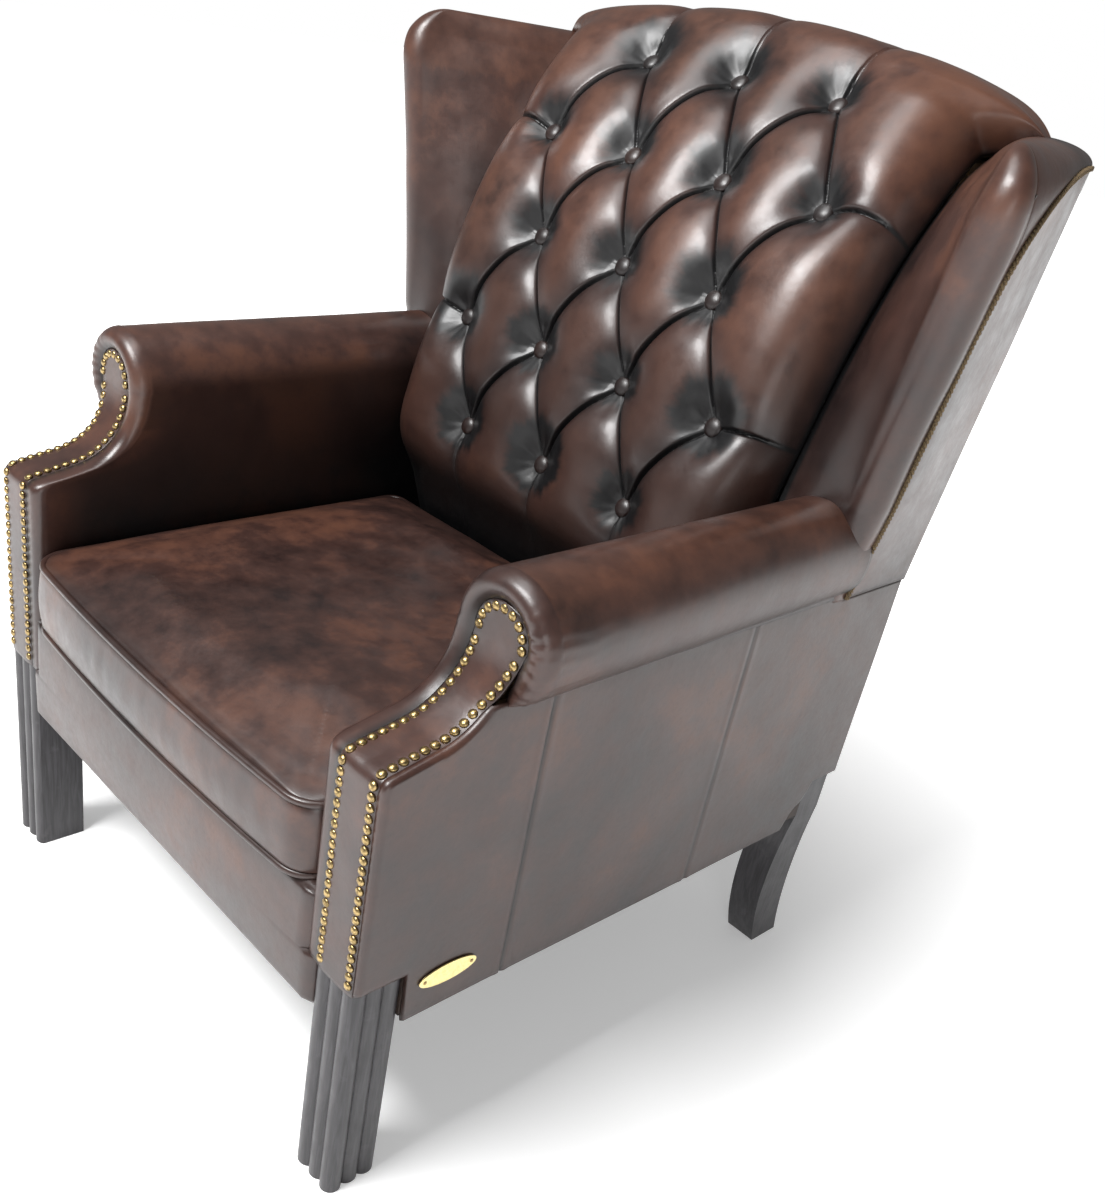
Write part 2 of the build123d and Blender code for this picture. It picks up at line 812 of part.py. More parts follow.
# Wing rails, from the wing post back to the back post
with BuildPart() as wing_rail:
    trim, rear = wing_plan(wing_crown_z)[-2:]
    corner = toward(trim, rear, wing_post_depth + wing_rail_gap)
    rail_low_z = wing_crown_z - wing_rail_height
    faces = [inward(trim, rear, 2 * cover + width) for width in (0, wing_post_width - cover)]
    rail_ends = [shifted(corner, shift) for shift in faces]
    rail_end_setback = outside_back(rail_low_z) - cover - post_depth
    with BuildSketch(Plane.XY.offset(rail_low_z)):
        with BuildLine():
            Polyline(
                placed(
                    [
                        rail_ends[0],
                        (post_x + post_width, rail_end_setback),
                        (post_x, rail_end_setback),
                        rail_ends[1],
                    ]
                ),
                close=True,
            )
        make_face()
    extrude(amount=wing_rail_height)
    add(wing_post.part, mode=Mode.SUBTRACT)
save_pair(wing_rail, "wing_rail")

# Inner back frame: two leaning stiles on a bottom rail, with a top rail behind them
stile_foot_z = deck_bottom + back_rail_height
stile_foot_setback = low_row_setback + back_foot_thickness
stile_head_setback = post_top_rear - stile_head_gap - back_rail_depth - stile_depth
stile_slope = (stile_head_setback - stile_foot_setback) / (post_top_z - stile_foot_z)
stile_x = back_half_width - clearance - stile_width


def stile_front(z):
    """Setback of the front of the stiles at a height."""
    return stile_foot_setback + (z - stile_foot_z) * stile_slope


def leaning(front, depth, z_range):
    """Draw a leaning bar in side view, from a front line and a level depth."""
    low_z, high_z = z_range
    with BuildLine() as outline:
        Polyline(
            (y_at(stile_front(low_z) + front), low_z),
            (y_at(stile_front(high_z) + front), high_z),
            (y_at(stile_front(high_z) + front + depth), high_z),
            (y_at(stile_front(low_z) + front + depth), low_z),
            close=True,
        )
    make_face(outline.line)


bottom_rail_rear = stile_foot_setback + stile_depth
with BuildPart() as back_bottom_rail:
    board((-frame_x, frame_x), (stile_foot_setback, bottom_rail_rear), (deck_bottom, stile_foot_z))
    for side in (-1, 1):
        end_x = sorted((side * rail_inner_x, side * frame_x))
        board(end_x, (stile_foot_setback, bottom_rail_rear), (rail_top, deck_bottom))
save(back_bottom_rail, "back_bottom_rail")

with BuildPart() as back_stile:
    with BuildSketch(Plane.YZ.offset(stile_x)):
        leaning(0, stile_depth, (stile_foot_z, post_top_z))
    extrude(amount=stile_width)
save_pair(back_stile, "back_stile")

with BuildPart() as back_top_rail:
    with BuildSketch(Plane.YZ.offset(-post_x)):
        leaning(stile_depth, back_rail_depth, (post_top_z - back_rail_height, post_top_z))
    extrude(amount=2 * post_x)
save(back_top_rail, "back_top_rail")

# Back webbing across the stiles
stile_angle = math.atan(stile_slope)
stile_length = (post_top_z - stile_foot_z) / math.cos(stile_angle)
back_web_face = Plane(
    origin=(0, y_at(stile_foot_setback), stile_foot_z),
    x_dir=(1, 0, 0),
    z_dir=(0, -math.cos(stile_angle), math.sin(stile_angle)),
)
with BuildPart() as back_webbing:
    with BuildSketch(back_web_face):
        with Locations((0, stile_length / 2)):
            with GridLocations(0, stile_length / (back_web_count + 1), 1, back_web_count):
                Rectangle(2 * (stile_x + stile_width), web_width)
    extrude(amount=web_thickness)
save(back_webbing, "back_webbing")

# Outside back panel, cut up over the rear legs
with BuildPart() as outside_panel:
    with BuildSketch(Plane.YZ.offset(-frame_x + clearance)):
        with BuildLine():
            Polyline(
                (y_at(back_rail_rear), cover_bottom),
                (y_at(rear_setback), cover_bottom),
                (y_at(rear_setback), outside_lean_z),
                (y_at(outside_top_setback), outside_top_z),
                (y_at(outside_top_setback - cover), outside_top_z),
                (y_at(back_rail_rear), outside_lean_z),
                close=True,
            )
        make_face()
    extrude(amount=2 * frame_x - 2 * clearance)
    for side in (-1, 1):
        cut_x = sorted((side * (back_rail_x - clearance), side * (side_x + overrun)))
        cut_setback = (back_rail_rear - overrun, rear_setback + overrun)
        board(cut_x, cut_setback, (cover_bottom - overrun, leg_height), Mode.SUBTRACT)
save(outside_panel, "outside_back")

# Front apron: leather down the front rail, turned under it and back over the webbing
apron_half_width = arm_inner_x - clearance
with BuildPart() as front_apron:
    board((-leg_inner_x, leg_inner_x), (0, cover), (cover_bottom, leg_height))
    board((-leg_inner_x, leg_inner_x), (cover, front_rail_rear), (cover_bottom, rail_bottom))
    board((-apron_half_width, apron_half_width), (0, cover), (leg_height, deck_top))
    board((-apron_half_width, apron_half_width), (cover, apron_lip), (deck_bottom, deck_top))
save(front_apron, "front_apron")

# Seat deck, a thin pad over the webbing
with BuildPart() as seat_deck:
    board(
        (-apron_half_width, apron_half_width),
        (apron_lip, stile_foot_setback - clearance),
        (deck_bottom, deck_top),
    )
save(seat_deck, "seat_deck")

# Dust cover under the seat, notched round the legs
with BuildPart() as dust_cover:
    with BuildSketch(Plane.XY.offset(rail_bottom - dust_cover_thickness)):
        with BuildLine():
            Polyline(
                (0, y_at(front_rail_rear + clearance)),
                (leg_inner_x - clearance, y_at(front_rail_rear + clearance)),
                (leg_inner_x - clearance, y_at(leg_size + clearance)),
                (frame_x - clearance, y_at(leg_size + clearance)),
                (frame_x - clearance, y_at(rear_leg_top_setback - dust_cover_thickness)),
                (back_rail_x - clearance, y_at(rear_leg_top_setback - dust_cover_thickness)),
                (back_rail_x - clearance, y_at(back_rail_rear - clearance)),
                (0, y_at(back_rail_rear - clearance)),
                close=True,
            )
        make_face()
        mirror(about=Plane.YZ)
    extrude(amount=dust_cover_thickness)
save(dust_cover, "dust_cover")


# Stuffed pieces with flat faces between their seams
def folded(low, high):
    """Faces between two rings. Each patch folds along its longer diagonal, as pleats do."""
    for side in range(len(low)):
        a, b = low[side - 1], low[side]
        c, d = high[side], high[side - 1]
        if (c - a).length > (d - b).length:
            corners = ((a, b, c), (a, c, d))
        else:
            corners = ((a, b, d), (b, c, d))
        for three in corners:
            yield Face(Wire.make_polygon(three, close=True))


def faceted(rings):
    """Closed solid through rings of corners, capped at both ends."""
    faces = [Face(Wire.make_polygon(ring, close=True)) for ring in (rings[0], rings[-1])]
    for low, high in zip(rings, rings[1:]):
        faces.extend(folded(low, high))
    return Solid(Shell(faces))


# Back pad: stations along the button line, from the skirt to the cap
def walk(place, length, turn=0):
    """Move along the line of the back. A place is a setback, a height and a lean."""
    setback, z, angle = place
    chord = length * math.sin(turn / 2) / (turn / 2) if turn else length
    middle = angle + turn / 2
    return (setback + chord * math.sin(middle), z + chord * math.cos(middle), angle + turn)


def tuft_share(column, row):
    """Share of the fullness at a column and row of the diamonds, in half steps."""
    halves = (column % 1 != 0) + (row % 1 != 0)
    if halves == 1:
        return flank_share
    if halves == 2:
        return pleat_share
    return (column + row) % 2


def pleat_row_share(share):
    """Shares across the skirt, where upright pleats run down from the lowest buttons."""
    weights = {0: 1, 0.5: pleat_share, 1: 0, 1.5: pleat_share}
    return lambda column: 1 - (1 - share) * weights[column % 2]


def section(place, half_width, drop, depth, shares, arch=0, bulge=fullness):
    """Outline of the pad across the back, on the plane of a place."""
    step = button_spacing / 4
    last = 2 * (wide_row_count - 1)
    front = [(step * j, -bulge * shares(j / 2)) for j in range(-last, last + 1)]
    edge = step * last
    sides = [
        (edge + (half_width - edge) * reach, -bulge + (bulge + drop) * share)
        for reach, share in side_roll_shares
    ]
    front = [(-x, y) for x, y in reversed(sides)] + front + sides
    front = [(x, y + arch * (x / cap_half_width) ** 2) for x, y in front]
    return place, front + [(half_width, depth), (-half_width, depth)]


def depth_to_stiles(place):
    """Distance from a place, square to the back, to the webbing on the stiles."""
    setback, z, angle = place
    face = stile_front(z) - (web_thickness + clearance) / math.cos(stile_angle)
    return (face - setback) / (math.cos(angle) + stile_slope * math.sin(angle))


def depth_to_floor(place):
    """Distance from a place, square to the cap, to the underside of the cap."""
    return (place[1] - cap_floor_z) / math.sin(place[2])


def between_wings(place, drop):
    """Half width of the pad at a place, where it meets the wing or the arm."""
    z = place[1] - drop * math.sin(place[2])
    top = (wing_crown_z, back_top_half_width)
    return max(back_half_width, between(z, (wing_base_z, back_half_width), top))


def levelled(place, share):
    """A place whose section plane keeps only a share of the lean of the lowest row."""
    return (place[0], place[1], lean * share)


low_place = (low_row_setback, low_row_z, lean)
bend_place = walk(low_place, back_straight)
lumbar_turn = -lumbar_length / lumbar_radius
waist_place = walk(low_place, -lumbar_length, lumbar_turn)
half_waist = walk(low_place, -lumbar_length / 2, lumbar_turn / 2)
skirt_middle = walk(waist_place, -skirt_length / 2)
skirt_end = walk(waist_place, -skirt_length)


def on_line(length):
    """Place on the button line at a length from the lowest row."""
    if length <= back_straight:
        return walk(low_place, length)
    beyond = length - back_straight
    return walk(bend_place, beyond, beyond / back_bend_radius)


top_length = (row_count - 1) * row_pitch
top_place = on_line(top_length)
cap_rise_place = walk(top_place, cap_rise)
cap_lift = math.pi / 2 - top_place[2]
cap_mid_lift = walk(cap_rise_place, cap_radius * cap_lift / 2, cap_lift / 2)
cap_top_place = walk(cap_rise_place, cap_radius * cap_lift, cap_lift)
cap_top_end = walk(cap_top_place, cap_top_length)
cap_fall = math.radians(cap_turn)
cap_mid_fall = walk(cap_top_end, cap_radius * cap_fall / 2, cap_fall / 2)
cap_fall_end = walk(cap_top_end, cap_radius * cap_fall, cap_fall)
cap_tail = math.radians(cap_tail_turn)
cap_tail_start = walk(cap_fall_end, clearance)
cap_tail_end = walk(cap_fall_end, cap_radius * cap_tail, cap_tail)


def even(column):
    """Full height at every column."""
    return 1


stations = []
for place, share, bulge_share in (
    (levelled(skirt_end, 0), skirt_end_share, skirt_fullness_share),
    (levelled(skirt_middle, 0.25), skirt_middle_share, skirt_fullness_share),
    (levelled(waist_place, 0.5), skirt_pleat_share, (1 + skirt_fullness_share) / 2),
    (levelled(half_waist, 0.75), pleat_share, 1),
):
    drop = side_drop * math.cos(place[2]) * bulge_share
    width = between_wings(place, drop)
    bulge = fullness * bulge_share
    stations.append(
        section(place, width, drop, depth_to_stiles(place), pleat_row_share(share), bulge=bulge)
    )
for half_row in range(2 * row_count - 1):
    place = on_line(half_row * row_pitch / 2)
    drop = side_drop * math.cos(place[2])
    width = between_wings(place, drop)
    shares = lambda column, row=half_row / 2: tuft_share(column, row)
    stations.append(section(place, width, drop, depth_to_stiles(place), shares))
neck = walk(top_place, cap_neck)
neck_drop = side_drop * math.cos(neck[2])
neck_width = between_wings(neck, neck_drop)
neck_shares = pleat_row_share(pleat_share)
stations.append(section(neck, neck_width, neck_drop, depth_to_stiles(neck), neck_shares))
for place, width, drop in (
    (walk(top_place, cap_flare), back_top_half_width, cap_flare_drop),
    (cap_rise_place, cap_ear_half_width, -fullness),
    (cap_mid_lift, cap_half_width, -fullness),
    (cap_top_place, cap_half_width, -fullness),
    (cap_top_end, cap_half_width, -fullness),
    (cap_mid_fall, cap_half_width, -fullness),
    (cap_fall_end, cap_rear_half_width, -fullness),
):
    arch = cap_arch * math.sin(place[2])
    stations.append(section(place, width, drop, depth_to_floor(place), even, arch))
for place in (cap_tail_start, cap_tail_end):
    arch = cap_arch * math.sin(place[2])
    stations.append(
        section(place, cap_tail_half_width, -fullness, cap_tail_thickness, even, arch)
    )

button_planes = []
for row in range(row_count):
    setback, z, angle = on_line(row * row_pitch)
    count = wide_row_count - (row + 1) % 2
    for index in range(count):
        x = (index - (count - 1) / 2) * button_spacing
        base_y = y_at(setback + button_seat * math.cos(angle))
        base_z = z - button_seat * math.sin(angle)
        facing = (0, -math.cos(angle), math.sin(angle))
        button_planes.append(Plane(origin=(x, base_y, base_z), x_dir=(1, 0, 0), z_dir=facing))

rings = []
for (setback, z, angle), points in stations:
    along = (0, math.sin(angle), math.cos(angle))
    plane = Plane(origin=(0, y_at(setback), z), x_dir=(1, 0, 0), z_dir=along)
    rings.append([plane.from_local_coords(point) for point in points])

with BuildPart() as back_pad:
    add(faceted(rings))
    with BuildSketch(*button_planes):
        RegularPolygon(button_radius + clearance, button_sides)
    extrude(amount=fullness + button_seat, mode=Mode.SUBTRACT)
save(back_pad, "back_pad")

with BuildPart() as back_buttons:
    with BuildSketch(*button_planes):
        RegularPolygon(button_radius, button_sides)
    extrude(amount=button_height, taper=button_taper)
save(back_buttons, "back_buttons")


# Seat cushion: boxed, with a bowed front, rounded corners and a crowned top
def cushion_outline(inset):
    """Corners round the cushion in plan, drawn in by inset, from the middle of its rear edge."""
    half_width = cushion_half_width - inset
    front = cushion_front_setback + inset
    rear = cushion_rear_setback - inset
    corner = cushion_corner_radius + cushion_softening * inset
    rear_corner = cushion_rear_radius + cushion_softening * inset
    bow_angle = 2 * math.atan(cushion_bow / cushion_half_width)
    bow_radius = corner + (half_width - corner) / math.sin(bow_angle)
    corner_setback = front + bow_radius - (bow_radius - corner) * math.cos(bow_angle)
    rear_centre = (half_width - rear_corner, rear - rear_corner)
    left = [
        (rear_centre[0] + rear_corner * math.sin(turn), rear_centre[1] + rear_corner * math.cos(turn))
        for turn in steps(0, math.pi / 2, rear_corner_sides)
    ]
    left += [
        (half_width - corner + corner * math.sin(turn), corner_setback - corner * math.cos(turn))
        for turn in steps(math.pi / 2, bow_angle, corner_sides)
    ]
    left += [
        (bow_radius * math.sin(turn), front + bow_radius * (1 - math.cos(turn)))
        for turn in steps(bow_angle, 0, bow_sides)[1:-1]
    ]
    right = [(-x, setback) for x, setback in reversed(left)]
    return placed([*left, (0, front), *right])


cushion_bottom = deck_top + clearance
low_welt_z = cushion_bottom + clearance + piping_radius
top_welt_z = low_welt_z + boxing_height
seam_inset = piping_radius - clearance
notch = math.sqrt(2) * (piping_radius + clearance)
cushion_levels = [
    (cushion_bottom, seam_inset + notch - (low_welt_z - cushion_bottom)),
    (low_welt_z, seam_inset + notch),
    (low_welt_z + notch, seam_inset),
    ((low_welt_z + top_welt_z) / 2, boxing_inset),
    (top_welt_z - notch, seam_inset),
    (top_welt_z, seam_inset + notch),
    (top_welt_z + notch, seam_inset),
]
for degrees in crown_steps:
    angle = math.radians(degrees)
    level = top_welt_z + notch + crown_height * math.sin(angle)
    cushion_levels.append((level, seam_inset + crown_reach * (1 - math.cos(angle))))

with BuildPart() as seat_cushion:
    add(faceted([[Vector(x, y, z) for x, y in cushion_outline(inset)] for z, inset in cushion_levels]))
save(seat_cushion, "seat_cushion")

# Piping in the notches along the cushion's top and bottom edges
with BuildPart() as cushion_piping:
    for z in (low_welt_z, top_welt_z):
        rear_middle = (0, y_at(cushion_rear_setback - seam_inset))
        with BuildLine(Plane.XY.offset(z)) as path:
            Polyline(rear_middle, *cushion_outline(seam_inset), rear_middle)
        with BuildSketch(Plane(origin=path.line @ 0, z_dir=path.line % 0)):
            RegularPolygon(piping_radius, piping_sides)
        sweep(path=path.line, transition=Transition.RIGHT)
save(cushion_piping, "cushion_piping")

# Nail heads in a close row up both edges of the facing, joined round the scroll
with BuildLine(Plane.YZ) as facing_curve:
    arm_front(0, leg_height)
facing_path = Wire(facing_curve.line.edges())


def facing_edges(z):
    """The nail rows' x at a height, on the inner and the outer edge of the facing."""
    lean_start = (shelf_front_z, facing_inner_x)
    inner = between(max(z, shelf_front_z), lean_start, (scroll_z, scroll_x - scroll_radius))
    neck = (scroll_neck_z, frame_x)
    outer = between(max(z, scroll_neck_z), neck, (scroll_z, scroll_x + scroll_radius))
    return inner + nail_inset, outer - nail_inset


nail_planes = []
travelled = nail_pitch
while True:
    spot = facing_path.position_at(travelled, position_mode=PositionMode.LENGTH)
    if spot.Z > scroll_z - nail_pitch / 2:
        break
    run = facing_path.tangent_at(travelled, position_mode=PositionMode.LENGTH)
    out = Vector(0, -run.Z, run.Y)
    for x in facing_edges(spot.Z):
        base = Vector(x, spot.Y, spot.Z) + out * clearance
        nail_planes.append(Plane(origin=base, x_dir=(1, 0, 0), z_dir=out))
    travelled += nail_pitch
ring_radius = scroll_radius - nail_inset
ring_count = round(math.pi * ring_radius / nail_pitch)
for index in range(ring_count + 1):
    angle = math.pi * index / ring_count
    x = scroll_x + ring_radius * math.cos(angle)
    z = scroll_z + ring_radius * math.sin(angle)
    base = (x, y_at(scroll_setback - clearance), z)
    nail_planes.append(Plane(origin=base, x_dir=(1, 0, 0), z_dir=(0, -1, 0)))

with BuildPart() as nail_head:
    with BuildSketch():
        RegularPolygon(nail_radius, nail_sides)
    extrude(amount=nail_height, taper=nail_taper)

with BuildPart() as facing_nails:
    with Locations(*nail_planes):
        add(nail_head.part)
save_pair(facing_nails, "facing_nails")

# Plain oval plate on the left side panel, held by two small screws
with BuildPart() as badge_plate:
    with BuildSketch(Plane.YZ.offset(side_x)):
        with Locations((y_at(plate_setback), plate_z)):
            Ellipse(plate_length / 2, plate_width / 2)
    extrude(amount=plate_thickness)
save(badge_plate, "badge_plate")

with BuildPart() as badge_screws:
    with BuildSketch(Plane.YZ.offset(side_x + plate_thickness)):
        with Locations((y_at(plate_setback), plate_z)):
            with GridLocations(plate_screw_spacing, 0, 2, 1):
                Circle(plate_screw_radius)
    extrude(amount=plate_screw_height)
save(badge_screws, "badge_screws")
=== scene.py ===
import math

import bmesh
import bpy
import numpy as np
from mathutils import Matrix, Vector, noise


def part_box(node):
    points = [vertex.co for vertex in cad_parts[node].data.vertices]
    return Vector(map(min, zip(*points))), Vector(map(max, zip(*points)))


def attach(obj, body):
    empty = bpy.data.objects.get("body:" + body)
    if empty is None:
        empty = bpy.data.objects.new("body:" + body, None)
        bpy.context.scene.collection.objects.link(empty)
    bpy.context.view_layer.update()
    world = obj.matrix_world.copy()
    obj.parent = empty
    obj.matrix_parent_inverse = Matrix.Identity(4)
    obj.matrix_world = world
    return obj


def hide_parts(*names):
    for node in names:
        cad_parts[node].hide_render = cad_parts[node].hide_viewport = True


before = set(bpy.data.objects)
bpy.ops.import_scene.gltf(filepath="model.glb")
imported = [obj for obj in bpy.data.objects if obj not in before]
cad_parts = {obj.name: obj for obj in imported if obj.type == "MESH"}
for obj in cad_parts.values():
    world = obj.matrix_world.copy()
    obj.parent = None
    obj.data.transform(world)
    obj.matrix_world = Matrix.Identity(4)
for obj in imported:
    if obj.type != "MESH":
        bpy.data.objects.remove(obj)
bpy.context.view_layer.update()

# Metres throughout. A setback is a distance behind the plane of the arm fronts.
FRONT_Y = -0.415
SIDE_X = 0.366
FACING_X = 0.303
FRAME_X = 0.358
ARM_X = 0.282
LEG_TOP = 0.271
RAIL_BOTTOM = 0.210
DECK_Z = 0.342
REAR_SETBACK = 0.754
REAR_BEND_Z = 0.546
SIDES = ((1, "left"), (-1, "right"))

# ---- finishes


def shader(name):
    """A material with its node tree, main shader and object coordinates."""
    material = bpy.data.materials.new(name)
    material.use_nodes = True
    tree = material.node_tree
    main = tree.nodes["Principled BSDF"]
    where = tree.nodes.new("ShaderNodeTexCoord").outputs["Object"]
    return material, tree, main, where


def feed(tree, node, inputs):
    """Link a node's inputs to sockets, or set them to values."""
    for key, value in inputs.items():
        if isinstance(value, bpy.types.NodeSocket):
            tree.links.new(value, node.inputs[key])
        else:
            node.inputs[key].default_value = value


def put(tree, kind, inputs, **settings):
    """Add a node, set its properties and feed its inputs."""
    node = tree.nodes.new("ShaderNode" + kind)
    for key, value in settings.items():
        setattr(node, key, value)
    feed(tree, node, inputs)
    return node


def speckle(tree, where, scale, detail=4.0, rough=0.5, distortion=0.0):
    """Noise in object space, as a value from 0 to 1."""
    inputs = {"Vector": where, "Scale": scale, "Detail": detail, "Roughness": rough}
    return put(tree, "TexNoise", {**inputs, "Distortion": distortion}).outputs["Fac"]


def spread(tree, value, low, high, new_low=0.0, new_high=1.0):
    """Map a range of values onto another, clamped."""
    inputs = {"Value": value, "From Min": low, "From Max": high}
    inputs.update({"To Min": new_low, "To Max": new_high})
    return put(tree, "MapRange", inputs).outputs["Result"]


def blended(tree, amount, first, second):
    """Mix two colours, each a socket or four numbers."""
    return put(tree, "Mix", {0: amount, 6: first, 7: second}, data_type="RGBA").outputs[2]


def computed(tree, operation, first, second):
    """A math node on two values."""
    return put(tree, "Math", {0: first, 1: second}, operation=operation).outputs[0]


def stretched(tree, where, scale):
    """Coordinates drawn out along the grain of wood."""
    return put(tree, "Mapping", {"Vector": where, "Scale": scale}).outputs["Vector"]


def bumped(tree, height, strength, distance, **under):
    """Fine relief from a height, over other relief if there is any."""
    inputs = {"Height": height, "Strength": strength, "Distance": distance, **under}
    return put(tree, "Bump", inputs).outputs["Normal"]


LEATHER_DARK = (0.013, 0.0068, 0.0062, 1)
LEATHER_MID = (0.052, 0.0225, 0.0165, 1)
LEATHER_WARM = (0.088, 0.035, 0.019, 1)
LEATHER_SHADE = (0.0016, 0.0015, 0.0019, 1)


def leather(name, warmth=0.5, mottling=0.35):
    """Rubbed antique leather: painted shade from the shade attribute darkens its folds and hollows;
    it is warmer where it wears and where the glow attribute paints light.
    """
    material, tree, main, where = shader(name)
    broad = speckle(tree, where, 6.0, 4.0, 0.5, 0.4)
    mottle = speckle(tree, where, 30.0, 6.0, 0.62)
    fleck = speckle(tree, where, 170.0, 3.0, 0.6)
    shade, glow = (
        put(tree, "Attribute", {}, attribute_name=kept).outputs["Fac"] for kept in ("shade", "glow")
    )
    broad = computed(tree, "MULTIPLY", broad, 1.0 - mottling)
    tone = computed(tree, "ADD", broad, computed(tree, "MULTIPLY", mottle, mottling))
    base = blended(tree, spread(tree, tone, 0.35, 0.60), LEATHER_DARK, LEATHER_MID)
    warm = spread(tree, tone, 0.60 - 0.12 * warmth, 0.70, 0.0, 0.85)
    base = blended(tree, warm, base, LEATHER_WARM)
    base = blended(tree, spread(tree, fleck, 0.55, 0.75, 0.0, 0.25), base, LEATHER_DARK)
    # Glow warms the colour: partly rubbed wear on raised places, partly painted light.
    worn_and_lit = computed(tree, "MULTIPLY", glow, spread(tree, mottle, 0.3, 0.6, 0.25, 0.8))
    base = blended(tree, worn_and_lit, base, LEATHER_WARM)
    # Painted shade: the shade attribute, with ragged edges, blends the colour towards near black.
    ragged = computed(tree, "MULTIPLY", computed(tree, "SUBTRACT", mottle, 0.5), 0.55)
    uneven = spread(tree, computed(tree, "ADD", shade, ragged), 0.06, 0.80)
    depth = computed(tree, "MULTIPLY", uneven, spread(tree, shade, 0.0, 0.1))
    base = blended(tree, depth, base, LEATHER_SHADE)
    wear = computed(tree, "ADD", mottle, computed(tree, "MULTIPLY", fleck, 0.4))
    dulled = computed(tree, "MULTIPLY", depth, 0.05)
    satin = computed(tree, "ADD", spread(tree, wear, 0.45, 0.90, 0.30, 0.43), dulled)
    pebbled = bumped(tree, speckle(tree, where, 520.0, 2.0, 0.5), 0.10, 0.0005)
    creased = bumped(tree, speckle(tree, where, 60.0, 4.0, 0.5), 0.12, 0.0022, Normal=pebbled)
    feed(tree, main, {"Base Color": base, "Roughness": satin, "Specular IOR Level": 0.5})
    feed(tree, main, {"Coat Weight": 0.10, "Coat Roughness": 0.18})
    feed(tree, main, {"Normal": creased, "Coat Normal": creased})
    return material


def dark_wood(name):
    """Stained legs, satin, with a faint grain and paler worn patches."""
    material, tree, main, where = shader(name)
    grain = speckle(tree, stretched(tree, where, (9.0, 9.0, 0.7)), 26.0, 8.0, 0.6, 0.6)
    wear = speckle(tree, where, 34.0, 5.0, 0.6)
    stain = ((0.014, 0.0125, 0.0145, 1), (0.044, 0.041, 0.046, 1))
    base = blended(tree, spread(tree, grain, 0.4, 0.7), *stain)
    base = blended(tree, spread(tree, wear, 0.6, 0.8, 0.0, 0.5), base, (0.10, 0.094, 0.10, 1))
    rough = spread(tree, wear, 0.3, 0.8, 0.30, 0.5)
    relief = bumped(tree, grain, 0.15, 0.001)
    feed(tree, main, {"Base Color": base, "Roughness": rough, "Normal": relief})
    return material


def frame_wood(name, first, second):
    """Planed hardwood of the hidden frame."""
    material, tree, main, where = shader(name)
    grain = speckle(tree, stretched(tree, where, (1.0, 8.0, 8.0)), 14.0, 8.0, 0.6, 1.0)
    base = blended(tree, spread(tree, grain, 0.35, 0.7), first, second)
    feed(tree, main, {"Base Color": base, "Roughness": 0.65})
    return material


def old_brass(name, bright, dull, smooth):
    """Brass with tarnish in patches."""
    material, tree, main, where = shader(name)
    patch = speckle(tree, where, 260.0, 4.0, 0.6)
    base = blended(tree, spread(tree, patch, 0.42, 0.7), bright, dull)
    rough = spread(tree, patch, 0.3, 0.8, smooth, smooth + 0.22)
    feed(tree, main, {"Base Color": base, "Metallic": 1.0, "Roughness": rough})
    return material


def woven(name, thread, gap, size):
    """Plain weave in two directions."""
    material, tree, main, where = shader(name)
    waves = [
        put(tree, "TexWave", {"Vector": where, "Scale": size}, bands_direction=way).outputs["Fac"]
        for way in "XY"
    ]
    height = computed(tree, "MULTIPLY", *waves)
    relief = bumped(tree, height, 0.4, 0.0008)
    base = blended(tree, height, gap, thread)
    feed(tree, main, {"Base Color": base, "Roughness": 0.85, "Normal": relief})
    return material


LEATHER = leather("antique_leather")
SEAT_LEATHER = leather("seat_leather", warmth=0.9, mottling=0.42)
WOOD = dark_wood("dark_stained_legs")
FRAME_WOOD = frame_wood("frame_wood", (0.30, 0.18, 0.09, 1), (0.50, 0.34, 0.19, 1))
# Frame rails, corner blocks and wing posts that show only in gaps are coloured near black: painted
# shade in those gaps.
SHADE_DARK_WOOD = frame_wood("rails_dark_as_shade", (0.022, 0.013, 0.010, 1), (0.040, 0.024, 0.017, 1))
NAIL_BRASS = old_brass("nail_brass", (0.40, 0.29, 0.13, 1), (0.085, 0.058, 0.028, 1), 0.26)
PLATE_BRASS = old_brass("plate_brass", (0.90, 0.76, 0.36, 1), (0.80, 0.63, 0.27, 1), 0.25)
GIMP = woven("gimp_cord", (0.27, 0.19, 0.09, 1), (0.07, 0.045, 0.022, 1), 420.0)
WEBBING = woven("jute_webbing", (0.42, 0.33, 0.22, 1), (0.2, 0.15, 0.1, 1), 90.0)
LINING = woven("black_lining", (0.02, 0.02, 0.02, 1), (0.008, 0.008, 0.008, 1), 300.0)

# The first row with a word that is in a node's name gives its finish. Others are leather.
FINISHES = (
    (("leg",), WOOD),
    (("webbing",), WEBBING),
    (("dust_cover", "seat_deck"), LINING),
    (("seat_rail", "corner_blocks", "wing_post", "wing_rail"), SHADE_DARK_WOOD),
    (("_rail", "_post", "stile"), FRAME_WOOD),
    (("nails", "badge"), NAIL_BRASS),
)
for node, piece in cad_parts.items():
    fitting = [look for words, look in FINISHES if any(word in node for word in words)]
    piece.data.materials.clear()
    piece.data.materials.append((fitting + [LEATHER])[0])


# ---- helpers for upholstered forms


def y_at(setback):
    """Y of a point that lies this far behind the plane of the arm fronts."""
    return FRONT_Y + setback


def mixed(low, high, share):
    """Straight blend of two numbers."""
    return low + (high - low) * share


def between(start, end, share):
    """Straight blend of two points."""
    return tuple(mixed(low, high, share) for low, high in zip(start, end))


def eased(low, high, value):
    """Smooth step from 0 at low to 1 at high."""
    share = min(1.0, max(0.0, (value - low) / (high - low)))
    return share * share * (3 - 2 * share)


def bell(away, width):
    """Bell curve: 1 at its middle, fading over a width."""
    return np.exp(-((away / width) ** 2))


